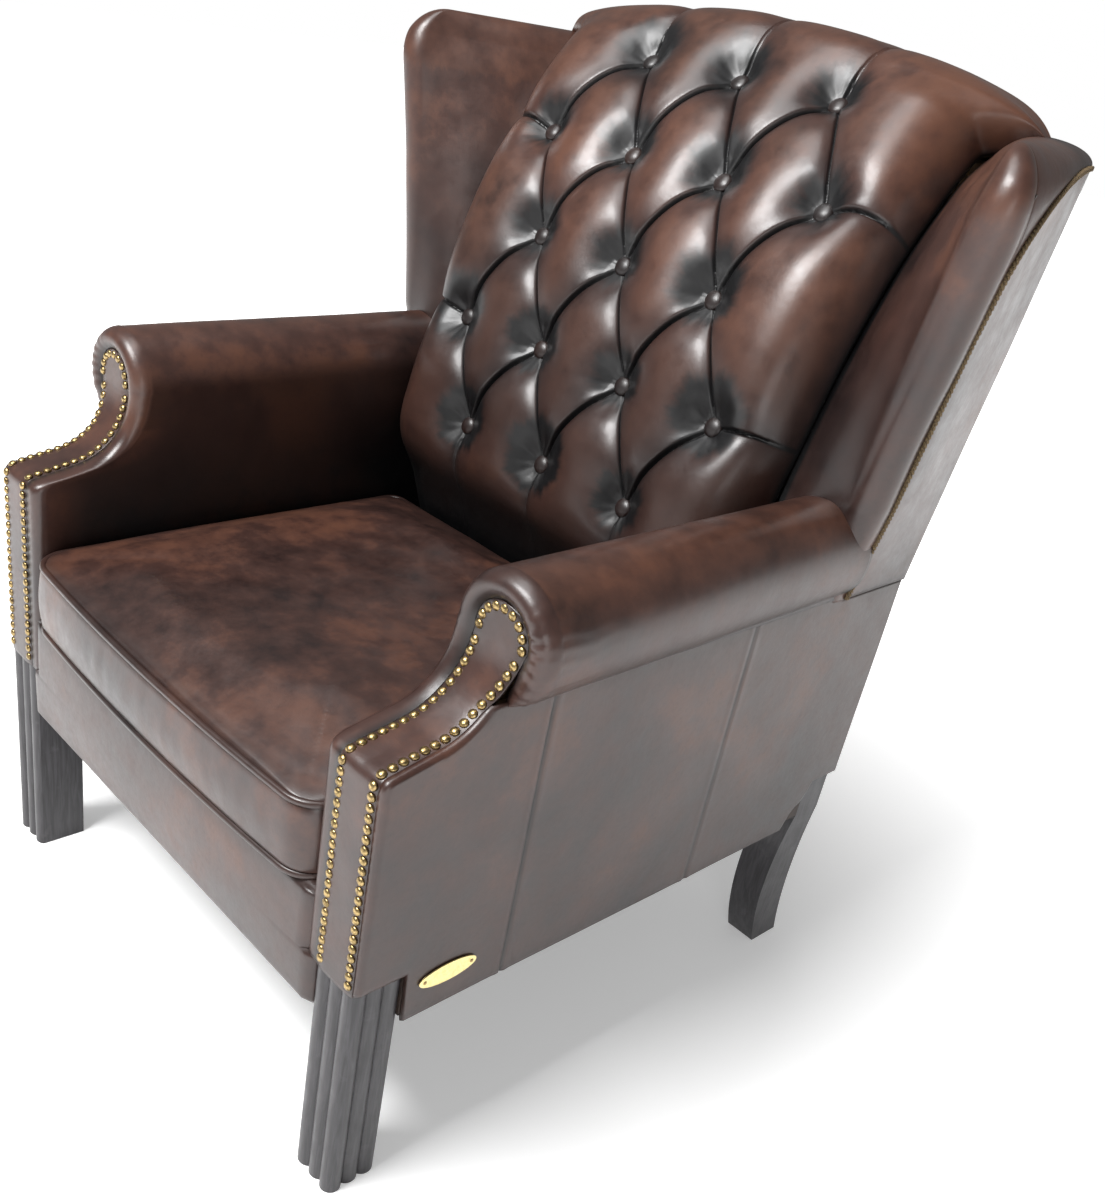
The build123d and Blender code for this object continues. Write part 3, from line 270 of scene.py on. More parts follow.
def around(centre, radius, angle):
    """Point on a circle round a centre."""
    return centre[0] + radius * math.cos(angle), centre[1] + radius * math.sin(angle)


def rounded(gap, radius):
    """How far a rounded edge draws a face in, at a distance from the edge."""
    if gap >= radius:
        return 0.0
    return radius - math.sqrt(max(0.0, radius**2 - (radius - gap) ** 2))


def traced(table, share):
    """Place on a table of rows, each a share and its numbers, straight between them."""
    for (start, *low), (end, *high) in zip(table, table[1:]):
        if share <= end:
            return between(low, high, (share - start) / (end - start))
    return table[-1][1:]


def rumple(point, scale, seed):
    """Smooth noise from -1 to 1 at a point."""
    return noise.noise(Vector(point) * scale + Vector((seed, 2.7 * seed, -seed)))


def linked(name, data):
    """An object in the scene for a mesh, lamp or camera."""
    made = bpy.data.objects.new(name, data)
    bpy.context.scene.collection.objects.link(made)
    return made


def filled(name, mesh, material):
    """An object made from an edited mesh."""
    data = bpy.data.meshes.new(name)
    mesh.to_mesh(data)
    mesh.free()
    data.materials.append(material)
    return linked(name, data)


def finished(name, mesh, material, body="chair", slot="leather", replaces=(), flat=False):
    """Turn an edited mesh into a piece that rides on a body."""
    piece = filled(name, mesh, material)
    for face in piece.data.polygons:
        face.use_smooth = not flat
    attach(piece, body)
    if replaces:
        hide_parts(*replaces)
    return piece


def layer(mesh, name):
    """A value at each point of a mesh: shade darkens the leather as painted shade, glow warms it,
    partly as rubbed wear and partly as painted light.
    """
    layers = mesh.verts.layers.float
    return layers.get(name) or layers.new(name)


def draped_grid(columns, rows, place, side=1, mesh=None):
    """A grid laid over a form. place(u, v) gives a point, its shade and perhaps its glow."""
    mesh = mesh or bmesh.new()
    shade = layer(mesh, "shade")
    glow = layer(mesh, "glow")
    made = bmesh.ops.create_grid(mesh, x_segments=columns, y_segments=rows, size=0.5)["verts"]
    for vert in made:
        (x, y, z), dark, *light = place(vert.co.x + 0.5, vert.co.y + 0.5)
        vert.co = Vector((x * side, y, z))
        vert[shade] = dark
        vert[glow] = light[0] if light else 0.0
    if side < 0:
        faces = {face for vert in made for face in vert.link_faces}
        bmesh.ops.reverse_faces(mesh, faces=list(faces))
    return mesh


def walled(piece, thick):
    """Give an upholstered skin its thickness, inward from its outer face."""
    wall = piece.modifiers.new("thickness", "SOLIDIFY")
    wall.thickness = thick
    wall.offset = -1.0
    return piece


def shell(name, columns, rows, place, side=1, thick=0.005, **rest):
    """A leather skin with a thickness, laid over a form."""
    return walled(finished(name, draped_grid(columns, rows, place, side), LEATHER, **rest), thick)


def dome(mesh, place, out, size, segments, rings):
    """A flattened ball at a place, its short way along the outward direction."""
    turn = out.to_track_quat("Z", "Y").to_matrix().to_4x4()
    shape = Matrix.Translation(place) @ turn @ Matrix.Diagonal((*size, 1))
    made = bmesh.ops.create_uvsphere(
        mesh, u_segments=segments, v_segments=rings, radius=1.0, matrix=shape
    )
    return made["verts"]


# ---- the arm's front line in side view: up, back along the shelf, up the curve to the scroll

SHELF_FRONT_Z, SHELF_BACK_Z, SCROLL_SETBACK = 0.509, 0.535, 0.127
NOSE_RADIUS, SHELF_RADIUS = 0.012, 0.084
# middle x, middle z and radius
SCROLL = (0.342, 0.605, 0.033)
ROLL = (0.342, 0.603, 0.060)
LIP_Z = 0.545


def arm_front_line():
    """Points along the arm's front line, closely spaced, as (setback, z)."""
    tilt = math.atan((SHELF_BACK_Z - SHELF_FRONT_Z) / SCROLL_SETBACK)
    turn = math.pi / 2 - tilt
    reach = math.tan(turn / 2)
    nose = (NOSE_RADIUS, SHELF_FRONT_Z - NOSE_RADIUS * reach)
    hollow = (SCROLL_SETBACK - SHELF_RADIUS, SHELF_BACK_Z + SHELF_RADIUS * reach)
    line = [(0.0, LEG_TOP)]
    line += [around(nose, NOSE_RADIUS, math.pi - step / 8 * turn) for step in range(9)]
    start = tilt - math.pi / 2
    line += [around(hollow, SHELF_RADIUS, start + step / 16 * turn) for step in range(17)]
    return line + [(SCROLL_SETBACK, 0.70)]


FRONT_LINE = arm_front_line()
FRONT_LENGTHS = [0.0]
for start, end in zip(FRONT_LINE, FRONT_LINE[1:]):
    FRONT_LENGTHS.append(FRONT_LENGTHS[-1] + math.dist(start, end))


def front_at(length):
    """Point and outward direction on the arm's front line, at a length from its foot."""
    for index in range(len(FRONT_LINE) - 1):
        if length <= FRONT_LENGTHS[index + 1]:
            break
    start, end = FRONT_LINE[index], FRONT_LINE[index + 1]
    run = FRONT_LENGTHS[index + 1] - FRONT_LENGTHS[index]
    out = (-(end[1] - start[1]) / run, (end[0] - start[0]) / run)
    return between(start, end, (length - FRONT_LENGTHS[index]) / run), out


def front_setback(z):
    """Setback of the arm's front at a height."""
    if z <= FRONT_LINE[1][1]:
        return 0.0
    for start, end in zip(FRONT_LINE, FRONT_LINE[1:]):
        if start[1] < z <= end[1]:
            return mixed(start[0], end[0], (z - start[1]) / (end[1] - start[1]))
    return SCROLL_SETBACK


# ---- arms: inner face, roll and the border round the facing, in one cover

ROLL_REAR_REACH = 0.044
ARM_REAR = 0.632
INNER_FOOT_Z = 0.329
LIP_ANGLE = math.acos((SIDE_X - ROLL[0]) / ROLL[2])
EDGE_ROUND = 0.015
# shares of the way round at which the inner face ends and the roll passes its widest point
FACE_SHARE, WIDEST_SHARE = 0.48, 0.86
# shares of the length at which the border round the facing and the rounded front edge end
BORDER_SHARE, CORNER_SHARE = 0.10, 0.19


def arm_section(u):
    """Section of the arm: whether on the roll, outer point, the facing's edge and the angle."""
    if u < FACE_SHARE:
        z = mixed(LEG_TOP, ROLL[1], (u / FACE_SHARE) ** 0.92)
        edge = FACING_X + 0.006 * eased(SHELF_FRONT_Z, SCROLL[1], z)
        return False, (ARM_X, z), (edge, z), 0.0
    if u < WIDEST_SHARE:
        angle = math.pi * (1 - (u - FACE_SHARE) / (WIDEST_SHARE - FACE_SHARE))
        edge = around(SCROLL, SCROLL[2], angle)
    else:
        share = (u - WIDEST_SHARE) / (1 - WIDEST_SHARE)
        angle = -LIP_ANGLE * share
        edge = between((SCROLL[0] + SCROLL[2], SCROLL[1]), (FRAME_X, LIP_Z), share)
    return True, around(ROLL, ROLL[2], angle), edge, angle


def arm_place(u, v):
    """Point of the arm's cover: v runs from the facing's edge, round the front, to the wing."""
    rolled, outer, edge, angle = arm_section(u)
    front = SCROLL_SETBACK if rolled else front_setback(outer[1])
    rear = ARM_REAR if outer[1] > INNER_FOOT_Z else front + 0.008
    if outer[0] > ROLL[0]:
        rear = mixed(0.618, 0.627, eased(0.66, 0.55, outer[1]))
    band = math.dist(outer, edge)
    radius = min(EDGE_ROUND if rolled else EDGE_ROUND * 0.85, 0.55 * band)
    if v < CORNER_SHARE:
        turn = max(0.0, v - BORDER_SHARE) / (CORNER_SHARE - BORDER_SHARE) * math.pi / 2
        flat = min(1.0, v / BORDER_SHARE) * (band - radius)
        x, z = between(edge, outer, (flat + radius * math.sin(turn)) / band)
        setback = (front if rolled else front_setback(z)) + radius * (1 - math.cos(turn))
        puff = eased(0.50, 0.60, z) * eased(-LIP_ANGLE, -0.4, angle)
        setback -= 0.005 * puff * math.sin(math.pi * v / CORNER_SHARE)
        if rolled:
            fold = math.sin(angle * 26 + 3 * rumple((x, 0, z), 40, 3))
            fold *= eased(math.radians(75), math.radians(20), angle)
            setback -= fold * 0.0006 * min(1, v / BORDER_SHARE)
        return (x, y_at(setback), z), max(0.0, 0.75 * (1 - 2 * v / CORNER_SHARE))
    along = ((v - CORNER_SHARE) / (1 - CORNER_SHARE)) ** 1.15
    setback = mixed(front + radius, rear, along)
    x, z = outer
    shade = 0.45 * eased(0.59, 0.63, setback)
    glow = 0.0
    if rolled:
        reach = ROLL[2]
        if x > ROLL[0]:
            reach = mixed(reach, ROLL_REAR_REACH, eased(SCROLL_SETBACK, 0.60, setback))
        x = ROLL[0] + (x - ROLL[0]) * reach / ROLL[2]
        if angle < 0:
            x = max(x, SIDE_X + 0.0005)
        near = math.exp(-((setback - SCROLL_SETBACK) / 0.035))
        near *= eased(math.radians(70), math.radians(25), angle)
        ripple = near * math.sin(angle * 30 + 4 * rumple((x, setback, z), 22, 5))
        relief = 0.0006 * ripple + 0.0014 * rumple((x, setback, z), 8, 9)
        x, z = around((x, z), relief, angle)
        shade += 0.55 * eased(0.0, -LIP_ANGLE, angle)
        shade += 0.30 * eased(math.radians(150), math.pi, angle)
        glow = 0.5 * bell(angle - 1.2, 0.7)
    else:
        x += 0.006 * min(1.0, ((ROLL[1] - z) / 0.19) ** 2) * eased(0.0, 0.06, along)
        x -= 0.0014 * rumple((x, setback, z), 8, 9)
        shade += 0.30 + 0.45 * eased(0.58, 0.44, z)
        shade += 0.35 * eased(0.40, 0.60, setback) * eased(0.60, 0.54, z)
        shade *= eased(0.0, 0.10, along) if z < 0.56 else 1.0
    return (x, y_at(setback), z), min(1.0, shade), glow


for side, name in SIDES:
    pad = [f"arm_pad_{name}"]
    arm = shell(f"arm_cover_{name}", 160, 150, arm_place, side, thick=0.004, replaces=pad)


# ---- facings, their nails and the side panels

SCROLL_TOP_LENGTH = FRONT_LENGTHS[-2] + (SCROLL[1] - FRONT_LINE[-2][1]) + SCROLL[2]
NAIL_PITCH, NAIL_INSET = 0.011, 0.006


def facing_edges(z):
    """Inner and outer edge of the facing at a height."""
    if z > SCROLL[1]:
        half = math.sqrt(max(0.0, SCROLL[2] ** 2 - (z - SCROLL[1]) ** 2))
        return SCROLL[0] - half, SCROLL[0] + half
    inner = FACING_X + 0.006 * max(0.0, (z - SHELF_FRONT_Z) / (SCROLL[1] - SHELF_FRONT_Z))
    outer = FRAME_X + 0.017 * max(0.0, (z - LIP_Z) / (SCROLL[1] - LIP_Z))
    return inner, outer


def facing_place(u, v):
    """Point of the facing: v runs up its length, u across it."""
    length = SCROLL_TOP_LENGTH * (1 - (1 - v) ** 1.25)
    (setback, z), out = front_at(min(length, SCROLL_TOP_LENGTH - 1e-5))
    inner, outer = facing_edges(z)
    across = 0.5 - 0.5 * math.cos(math.pi * u)
    x = mixed(inner, outer, across)
    off = abs(2 * across - 1)
    lift = 0.0022 * (1 - off**4) + 0.0006 * rumple((x, setback, z), 25, 7)
    lift -= 0.0012 * bell(z - SHELF_FRONT_Z, 0.006) * (1 - off)
    shade = 0.35 * off**3 + 0.25 * eased(0.55, 0.62, z)
    return (x, y_at(setback) + out[0] * lift, z + out[1] * lift), shade


def nail_spots():
    """Places and outward directions of the nails on the left facing."""
    spots = []
    travelled = NAIL_PITCH
    while True:
        (setback, z), out = front_at(travelled)
        if z > SCROLL[1] - NAIL_PITCH / 2:
            break
        inner, outer = facing_edges(z)
        for x in (inner + NAIL_INSET, outer - NAIL_INSET):
            spots.append((Vector((x, y_at(setback), z)), Vector((0, *out))))
        travelled += NAIL_PITCH
    ring = SCROLL[2] - NAIL_INSET
    count = round(math.pi * ring / NAIL_PITCH)
    for index in range(count + 1):
        x, z = around(SCROLL, ring, math.pi * index / count)
        spots.append((Vector((x, y_at(SCROLL_SETBACK), z)), Vector((0, -1, 0))))
    return spots


def nail_row(side):
    """All nails of one facing: low domes with a turned-in rim."""
    mesh = bmesh.new()
    for place, out in nail_spots():
        made = dome(mesh, place + out * 0.0008, out, (0.0051, 0.0051, 0.0036), 10, 6)
        low = [vert for vert in made if (vert.co - place).dot(out) < -0.0002]
        bmesh.ops.delete(mesh, geom=low, context="VERTS")
    bmesh.ops.holes_fill(mesh, edges=mesh.edges)
    bmesh.ops.scale(mesh, vec=(side, 1, 1), verts=mesh.verts)
    bmesh.ops.recalc_face_normals(mesh, faces=mesh.faces)
    return mesh


SEAMS = (0.186, 0.472)
FRONT_LEG_REAR = 0.060
REAR_LEG_FRONT, REAR_LEG_CURVE = 0.658, 0.700
PANEL_TOP = 0.552
# share along the side panel and its setback, closer where the lower edge turns
PANEL_COLUMNS = [
    (0.0, 0.0),
    (0.10, 0.0595),
    (0.101, 0.0605),
    (0.55, 0.40),
    (0.80, 0.6575),
    (0.86, 0.700),
    (0.861, 0.7005),
    (1.0, REAR_SETBACK),
]


def panel_bottom(setback):
    """Lower edge of the side panel: raised over the front leg and by an ogee over the rear leg."""
    if setback < FRONT_LEG_REAR or setback > REAR_LEG_CURVE:
        return LEG_TOP
    if setback < REAR_LEG_FRONT:
        return RAIL_BOTTOM
    share = (setback - REAR_LEG_FRONT) / (REAR_LEG_CURVE - REAR_LEG_FRONT)
    return mixed(RAIL_BOTTOM, LEG_TOP, share + 0.10 * math.sin(2 * math.pi * share))


def panel_top(setback):
    """Upper edge of the side panel, under the roll and the wing."""
    if setback < SCROLL_SETBACK:
        for start, end in zip(FRONT_LINE, FRONT_LINE[1:]):
            if start[0] <= setback < end[0]:
                share = (setback - start[0]) / (end[0] - start[0])
                return min(PANEL_TOP, mixed(start[1], end[1], share))
    return PANEL_TOP if setback < 0.625 else REAR_BEND_Z


def side_place(u, v):
    """Point of the side panel: sewn from three pieces, with a rounded front edge."""
    (setback,) = traced(PANEL_COLUMNS, u)
    low, high = panel_bottom(setback), panel_top(setback)
    z = mixed(low, high, v)
    into = rounded(setback - (front_setback(z) if z > 0.45 else 0.0), 0.008)
    into = max(into, rounded(z - low, 0.006), rounded(REAR_SETBACK - setback, 0.006))
    shade = 0.3 * eased(0.52, 0.548, z) + 0.35 * eased(0.24, RAIL_BOTTOM, z)
    for seam in SEAMS:
        away = abs(setback - seam)
        into += 0.0016 * bell(away, 0.0016) - 0.0006 * bell(away - 0.006, 0.004)
        shade = max(shade, 0.8 * bell(away, 0.0025))
    swell = 0.0014 * rumple((0, setback, z), 5, 12)
    return (SIDE_X - into + swell - 0.001, y_at(setback), z), shade


for side, name in SIDES:
    strip, nails, panel = (
        [f"{node}_{name}"] for node in ("arm_facing", "facing_nails", "side_panel")
    )
    shell(f"facing_{name}", 30, 150, facing_place, side, thick=0.006, replaces=strip)
    finished(f"nails_{name}", nail_row(side), NAIL_BRASS, slot="brass", replaces=nails)
    shell(f"side_cover_{name}", 330, 70, side_place, side, thick=0.0072, replaces=panel)


# ---- wings

EDGE_RADIUS = 0.026
WING_FOOT_Z = 0.545
# height, middle x and middle setback of the wing's rolled front edge
WING_ROLL = [
    (WING_FOOT_Z, 0.341, 0.617),
    (0.664, 0.370, 0.600),
    (0.850, 0.397, 0.595),
    (1.024, 0.430, 0.586),
]
BUTTON_LOW = (0.5015, 0.580)
LEAN = math.radians(17.5)
STRAIGHT, BEND_RADIUS = 0.185, 0.620
CREASE_DROP = 0.058
# heights between which the crease of wing and back spreads, with its x at each
CREASE_LOW, CREASE_HIGH = (0.664, 0.2815), (0.985, 0.292)
REAR_TOP_SETBACK, REAR_TOP_Z = 0.852, 1.014


def button_setback(z):
    """Setback of the line of the buttons at a height: straight, then bent upright."""
    bend = around(BUTTON_LOW, STRAIGHT, math.pi / 2 - LEAN)
    if z < bend[1]:
        return BUTTON_LOW[0] + (z - BUTTON_LOW[1]) * math.tan(LEAN)
    centre = around(bend, BEND_RADIUS, -LEAN)
    return centre[0] - math.sqrt(BEND_RADIUS**2 - (z - centre[1]) ** 2)


def outside_back(z):
    """Setback of the outside back at a height."""
    slope = (REAR_TOP_SETBACK - REAR_SETBACK) / (REAR_TOP_Z - REAR_BEND_Z)
    return REAR_SETBACK + max(0.0, z - REAR_BEND_Z) * slope


def crease_x(z):
    """Half width of the back at its crease with the wing, at a height."""
    share = (z - CREASE_LOW[0]) / (CREASE_HIGH[0] - CREASE_LOW[0])
    return mixed(CREASE_LOW[1], CREASE_HIGH[1], max(0.0, share))


def wing_points(z):
    """Crease, roll middle, rear corner and the angles between which the roll turns."""
    middle = traced(WING_ROLL, z)
    crease = (crease_x(z) + 0.0006, button_setback(z) + CREASE_DROP)
    rear = (SIDE_X, outside_back(z))

    def touch(point, sign):
        bearing = math.atan2(point[1] - middle[1], point[0] - middle[0])
        open_angle = math.acos(EDGE_RADIUS / math.dist(point, middle))
        return math.remainder(bearing + sign * open_angle, math.tau)

    return crease, middle, rear, touch(crease, 1), touch(rear, -1)


# shares of the way round at which the roll starts and ends, and at which the trim lies
ROLL_START, ROLL_END, WALL_SHARE = 0.38, 0.62, 0.66
TRIM_REACH = 0.0125
TRIM_TURN_Z = 0.905


def wing_side(share, z):
    """Point on the wing's plan at a height: inner face, roll, trim and back to the corner."""
    crease, middle, rear, first, last = wing_points(z)
    if share < ROLL_START:
        part = share / ROLL_START
        swell = 0.006 * math.sin(math.pi * part) ** 2
        return around(between(crease, around(middle, EDGE_RADIUS, first), part), swell, first)
    if share < ROLL_END:
        angle = mixed(first, last, (share - ROLL_START) / (ROLL_END - ROLL_START))
        return around(middle, EDGE_RADIUS, angle)
    end = around(middle, EDGE_RADIUS, last)
    run = math.dist(end, rear)
    if share <= WALL_SHARE:
        reach = TRIM_REACH * (share - ROLL_END) / (WALL_SHARE - ROLL_END) / run
    else:
        reach = mixed(TRIM_REACH / run, 1.0, (share - WALL_SHARE) / (1 - WALL_SHARE))
    return between(end, rear, reach)


def wall_top(share):
    """Height at which the wing's side starts to round over into its top."""
    if share < WALL_SHARE:
        return mixed(0.958, TRIM_TURN_Z, eased(0.52, WALL_SHARE, share))
    back = 1 - (share - WALL_SHARE) / (1 - WALL_SHARE)
    return mixed(TRIM_TURN_Z, 1.000, (1 - back**3) ** 0.62)


def outer_share(u):
    """Share of the way round the wing, closer together where the trim turns back."""
    return u if u <= WALL_SHARE else WALL_SHARE + (u - WALL_SHARE) ** 2 / (1 - WALL_SHARE)


def wing_shade(share, z):
    """Dark in the crease with the back, above the arm and beside the trim."""
    dark = 0.9 * eased(0.05, 0.0, share) + 0.35 * eased(0.30, 0.05, share) * eased(0.98, 0.80, z)
    dark = max(dark, 0.35 * eased(0.90, 0.72, z) * eased(0.50, 0.35, share))
    return min(1.0, max(dark, 0.45 * eased(WALL_SHARE - 0.03, WALL_SHARE, share)))


def wing_wall(u, v):
    """Point of the wing's side, up to where it rounds over."""
    share = u * WALL_SHARE
    z = mixed(WING_FOOT_Z, wall_top(share), v)
    x, setback = wing_side(share, z)
    soft = 0.0016 * rumple((x, setback, z), 9, 15)
    return (x + soft, y_at(setback), z), wing_shade(share, z), 0.35 * eased(0.5, ROLL_END, share)


def wing_crown(u, v):
    """Point of the wing's rounded top, closed along a line from its roll to the cap."""
    u = outer_share(u)
    low = wall_top(u)
    share = min(1.0, u / ROLL_START, (1 - u) / (1 - WALL_SHARE))
    angle = v * math.pi / 2
    closed = 1 - math.cos(angle)
    z = mixed(low, mixed(1.0215, 1.0235, share), math.sin(angle) ** 0.95)
    ridge = between((0.330, 0.800), (0.402, 0.612), share)
    x, setback = between(wing_side(u, min(z, 0.995)), ridge, closed)
    soft = 0.0016 * rumple((x, setback, z), 9, 15) * (1 - closed)
    shade = wing_shade(u, low) * (1 - v) ** 2 + 0.8 * eased(0.76, 0.80, setback) * v
    return (x + soft, y_at(setback), z), min(1.0, shade), 0.35


def outer_wing_place(u, v):
    """Point of the outer wing panel, from the trim back to the outside back."""
    share = outer_share(mixed(WALL_SHARE, 1.0, u))
    z = mixed(REAR_BEND_Z, wall_top(share), v)
    x, setback = wing_side(share, z)
    swell = 0.003 * math.sin(math.pi * u) * math.sin(math.pi * v)
    swell += 0.001 * rumple((x, setback, z), 8, 20)
    shade = 0.5 * eased(0.03, 0.0, v) + 0.45 * eased(0.20, 0.0, u)
    return (x + swell - 0.0008, y_at(setback), z), shade


def trim_path(side):
    """Points along the seam that the trim covers: up the wing and back along its top."""
    spots = [(WALL_SHARE, mixed(0.547, TRIM_TURN_Z, step / 240), 0.0) for step in range(240)]
    for step in range(200):
        share = outer_share(mixed(WALL_SHARE, 0.990, step / 199))
        spots.append((share, wall_top(share), 0.0005))
    path = []
    for share, z, lift in spots:
        x, setback = wing_side(share, z)
        path.append(Vector((side * (x + 0.0012), y_at(setback), z + lift)))
    return path


def tube(mesh, path, radius, sides, closed=False):
    """A round tube of bridged rings along a path, joined to itself or with its ends filled."""
    rings = []
    count = len(path)
    for index, here in enumerate(path):
        before = path[index - 1] if closed or index else here
        after = path[(index + 1) % count] if closed or index < count - 1 else here
        along = (after - before).normalized()
        across = (0, 0, 1) if closed or abs(along.x) >= 0.9 else (1, 0, 0)
        flat = along.cross(Vector(across)).normalized()
        turn = Matrix((flat, along.cross(flat), along)).transposed().to_4x4()
        shape = Matrix.Translation(here) @ turn
        made = bmesh.ops.create_circle(mesh, segments=sides, radius=radius, matrix=shape)
        rings.append(list({edge for vert in made["verts"] for edge in vert.link_edges}))
    for low, high in zip(rings, rings[1:] + (rings[:1] if closed else [])):
        bmesh.ops.bridge_loops(mesh, edges=low + high)
    if not closed:
        for ring in (rings[0], rings[-1]):
            bmesh.ops.holes_fill(mesh, edges=ring)


def cord_mesh(path, radius, lay):
    """Two strands twisted round each other along a path."""
    mesh = bmesh.new()
    for strand in (0.0, math.pi):
        middle = []
        travelled = 0.0
        for index, here in enumerate(path):
            before, after = path[max(0, index - 1)], path[min(len(path) - 1, index + 1)]
            travelled += (here - before).length
            flat = (after - before).cross(Vector((1, 0, 0))).normalized()
            up = flat.cross((after - before).normalized())
            twist = strand + math.tau * travelled / lay
            off = flat * math.cos(twist) + up * math.sin(twist)
            middle.append(here + off * radius * 0.85)
        tube(mesh, middle, radius, 6)
    bmesh.ops.recalc_face_normals(mesh, faces=mesh.faces)
    return mesh


for side, name in SIDES:
    pad, panel, trim = ([f"{node}_{name}"] for node in ("wing_pad", "outer_wing", "wing_trim"))
    mesh = draped_grid(132, 110, wing_wall, side)
    draped_grid(200, 34, wing_crown, side, mesh)
    bmesh.ops.remove_doubles(mesh, verts=mesh.verts, dist=0.0002)
    wing = walled(finished(f"wing_cover_{name}", mesh, LEATHER, replaces=pad), 0.004)
    shell(f"wing_outside_{name}", 60, 90, outer_wing_place, side, thick=0.0065, replaces=panel)
    cord = cord_mesh(trim_path(side), 0.0018, 0.010)
    finished(f"wing_gimp_{name}", cord, GIMP, slot="gimp", replaces=trim)


# ---- buttoned back

SPACING, PITCH, ROWS = 0.137, 0.121, 5
TOP_ROW = PITCH * (ROWS - 1)
FULLNESS = 0.030
CAP_RADIUS, CAP_HALF, CAP_DROP = 0.040, 0.353, 0.040
FOOT_TURN = math.radians(37.37)
BEND_RUN = 0.299
CAP_TURN = math.pi / 2 - (LEAN + BEND_RUN / BEND_RADIUS)
BEHIND_TURN = math.radians(80)
# runs of the back's line from its foot to the rear of its cap, each with how far it turns
BACK_RUNS = [
    (0.150, 0.0),
    (0.060, FOOT_TURN),
    (STRAIGHT, 0.0),
    (BEND_RUN, BEND_RUN / BEND_RADIUS),
    (0.050, 0.0),
    (CAP_RADIUS * CAP_TURN, CAP_TURN),
    (0.018, 0.0),
    (CAP_RADIUS * BEHIND_TURN, BEHIND_TURN),
]
BACK_START = -0.210
BACK_END = BACK_START + sum(run for run, turn in BACK_RUNS)


def line_place(length, foot):
    """Place on the line of the buttons: setback, z and lean at a length from the lowest row."""
    setback, z = foot
    angle = LEAN - FOOT_TURN
    left = length - BACK_START
    for run, turn in BACK_RUNS:
        step = min(left, run)
        turned = turn * step / run
        chord = step if turned == 0 else step * math.sin(turned / 2) / (turned / 2)
        setback += chord * math.sin(angle + turned / 2)
        z += chord * math.cos(angle + turned / 2)
        angle += turned
        left -= step
        if left <= 0:
            break
    return setback, z, angle


# foot of the line, worked back from the lowest row of buttons
low_setback, low_z, low_lean = line_place(0.0, (0.0, 0.0))
LINE_FOOT = (BUTTON_LOW[0] - low_setback, BUTTON_LOW[1] - low_z)

# buttons, row by row: x and length along the line
BUTTON_ROWS = []
for row in range(ROWS):
    middle = 1 + row % 2 / 2
    count = 3 + row % 2
    BUTTON_ROWS.append([((index - middle) * SPACING, row * PITCH) for index in range(count)])
ALL_BUTTONS = [spot for row in BUTTON_ROWS for spot in row]
# folds: between neighbouring rows, down to the foot, up over the cap and out to the sides
FOLDS = [
    (spot, other)
    for lower, upper in zip(BUTTON_ROWS, BUTTON_ROWS[1:])
    for spot in lower
    for other in upper
    if abs(spot[0] - other[0]) < SPACING * 0.6
]
FOLDS += [(spot, (spot[0] * 1.02, BACK_START - 0.02)) for spot in BUTTON_ROWS[0]]
FOLDS += [(spot, (spot[0] * 1.10, BACK_END + 0.01)) for spot in BUTTON_ROWS[-1]]
for row in (BUTTON_ROWS[1], BUTTON_ROWS[3]):
    for spot in (row[0], row[-1]):
        FOLDS.append((spot, (math.copysign(0.34, spot[0]), spot[1] + 0.004)))


def half_width(length, z):
    """Half width of the back: up to the creases, out into the cap's ears, in again behind."""
    ear = 0.061 * eased(TOP_ROW + 0.018, TOP_ROW + 0.066, length)
    return crease_x(z) + ear - 0.055 * eased(TOP_ROW + 0.105, BACK_END, length)


def fold_gap(points, start, end):
    """Distance from a bowed fold, positive above it, and the share of the way along it."""
    a, b = np.array(start), np.array(end)
    run = b - a
    size = np.linalg.norm(run)
    share = ((points - a) @ run) / size**2
    across = np.array([-run[1], run[0]]) / size
    if across[1] < 0:
        across = -across
    bow = 0.0075 * 4 * np.clip(share * (1 - share), 0, 1) * min(1.0, abs(across[1]) * 2)
    off = (points - a) @ across - bow
    beyond = np.maximum(0, np.maximum(-share, share - 1)) * size
    return np.where(off < 0, -1.0, 1.0) * np.hypot(off, beyond), np.clip(share, 0, 1)


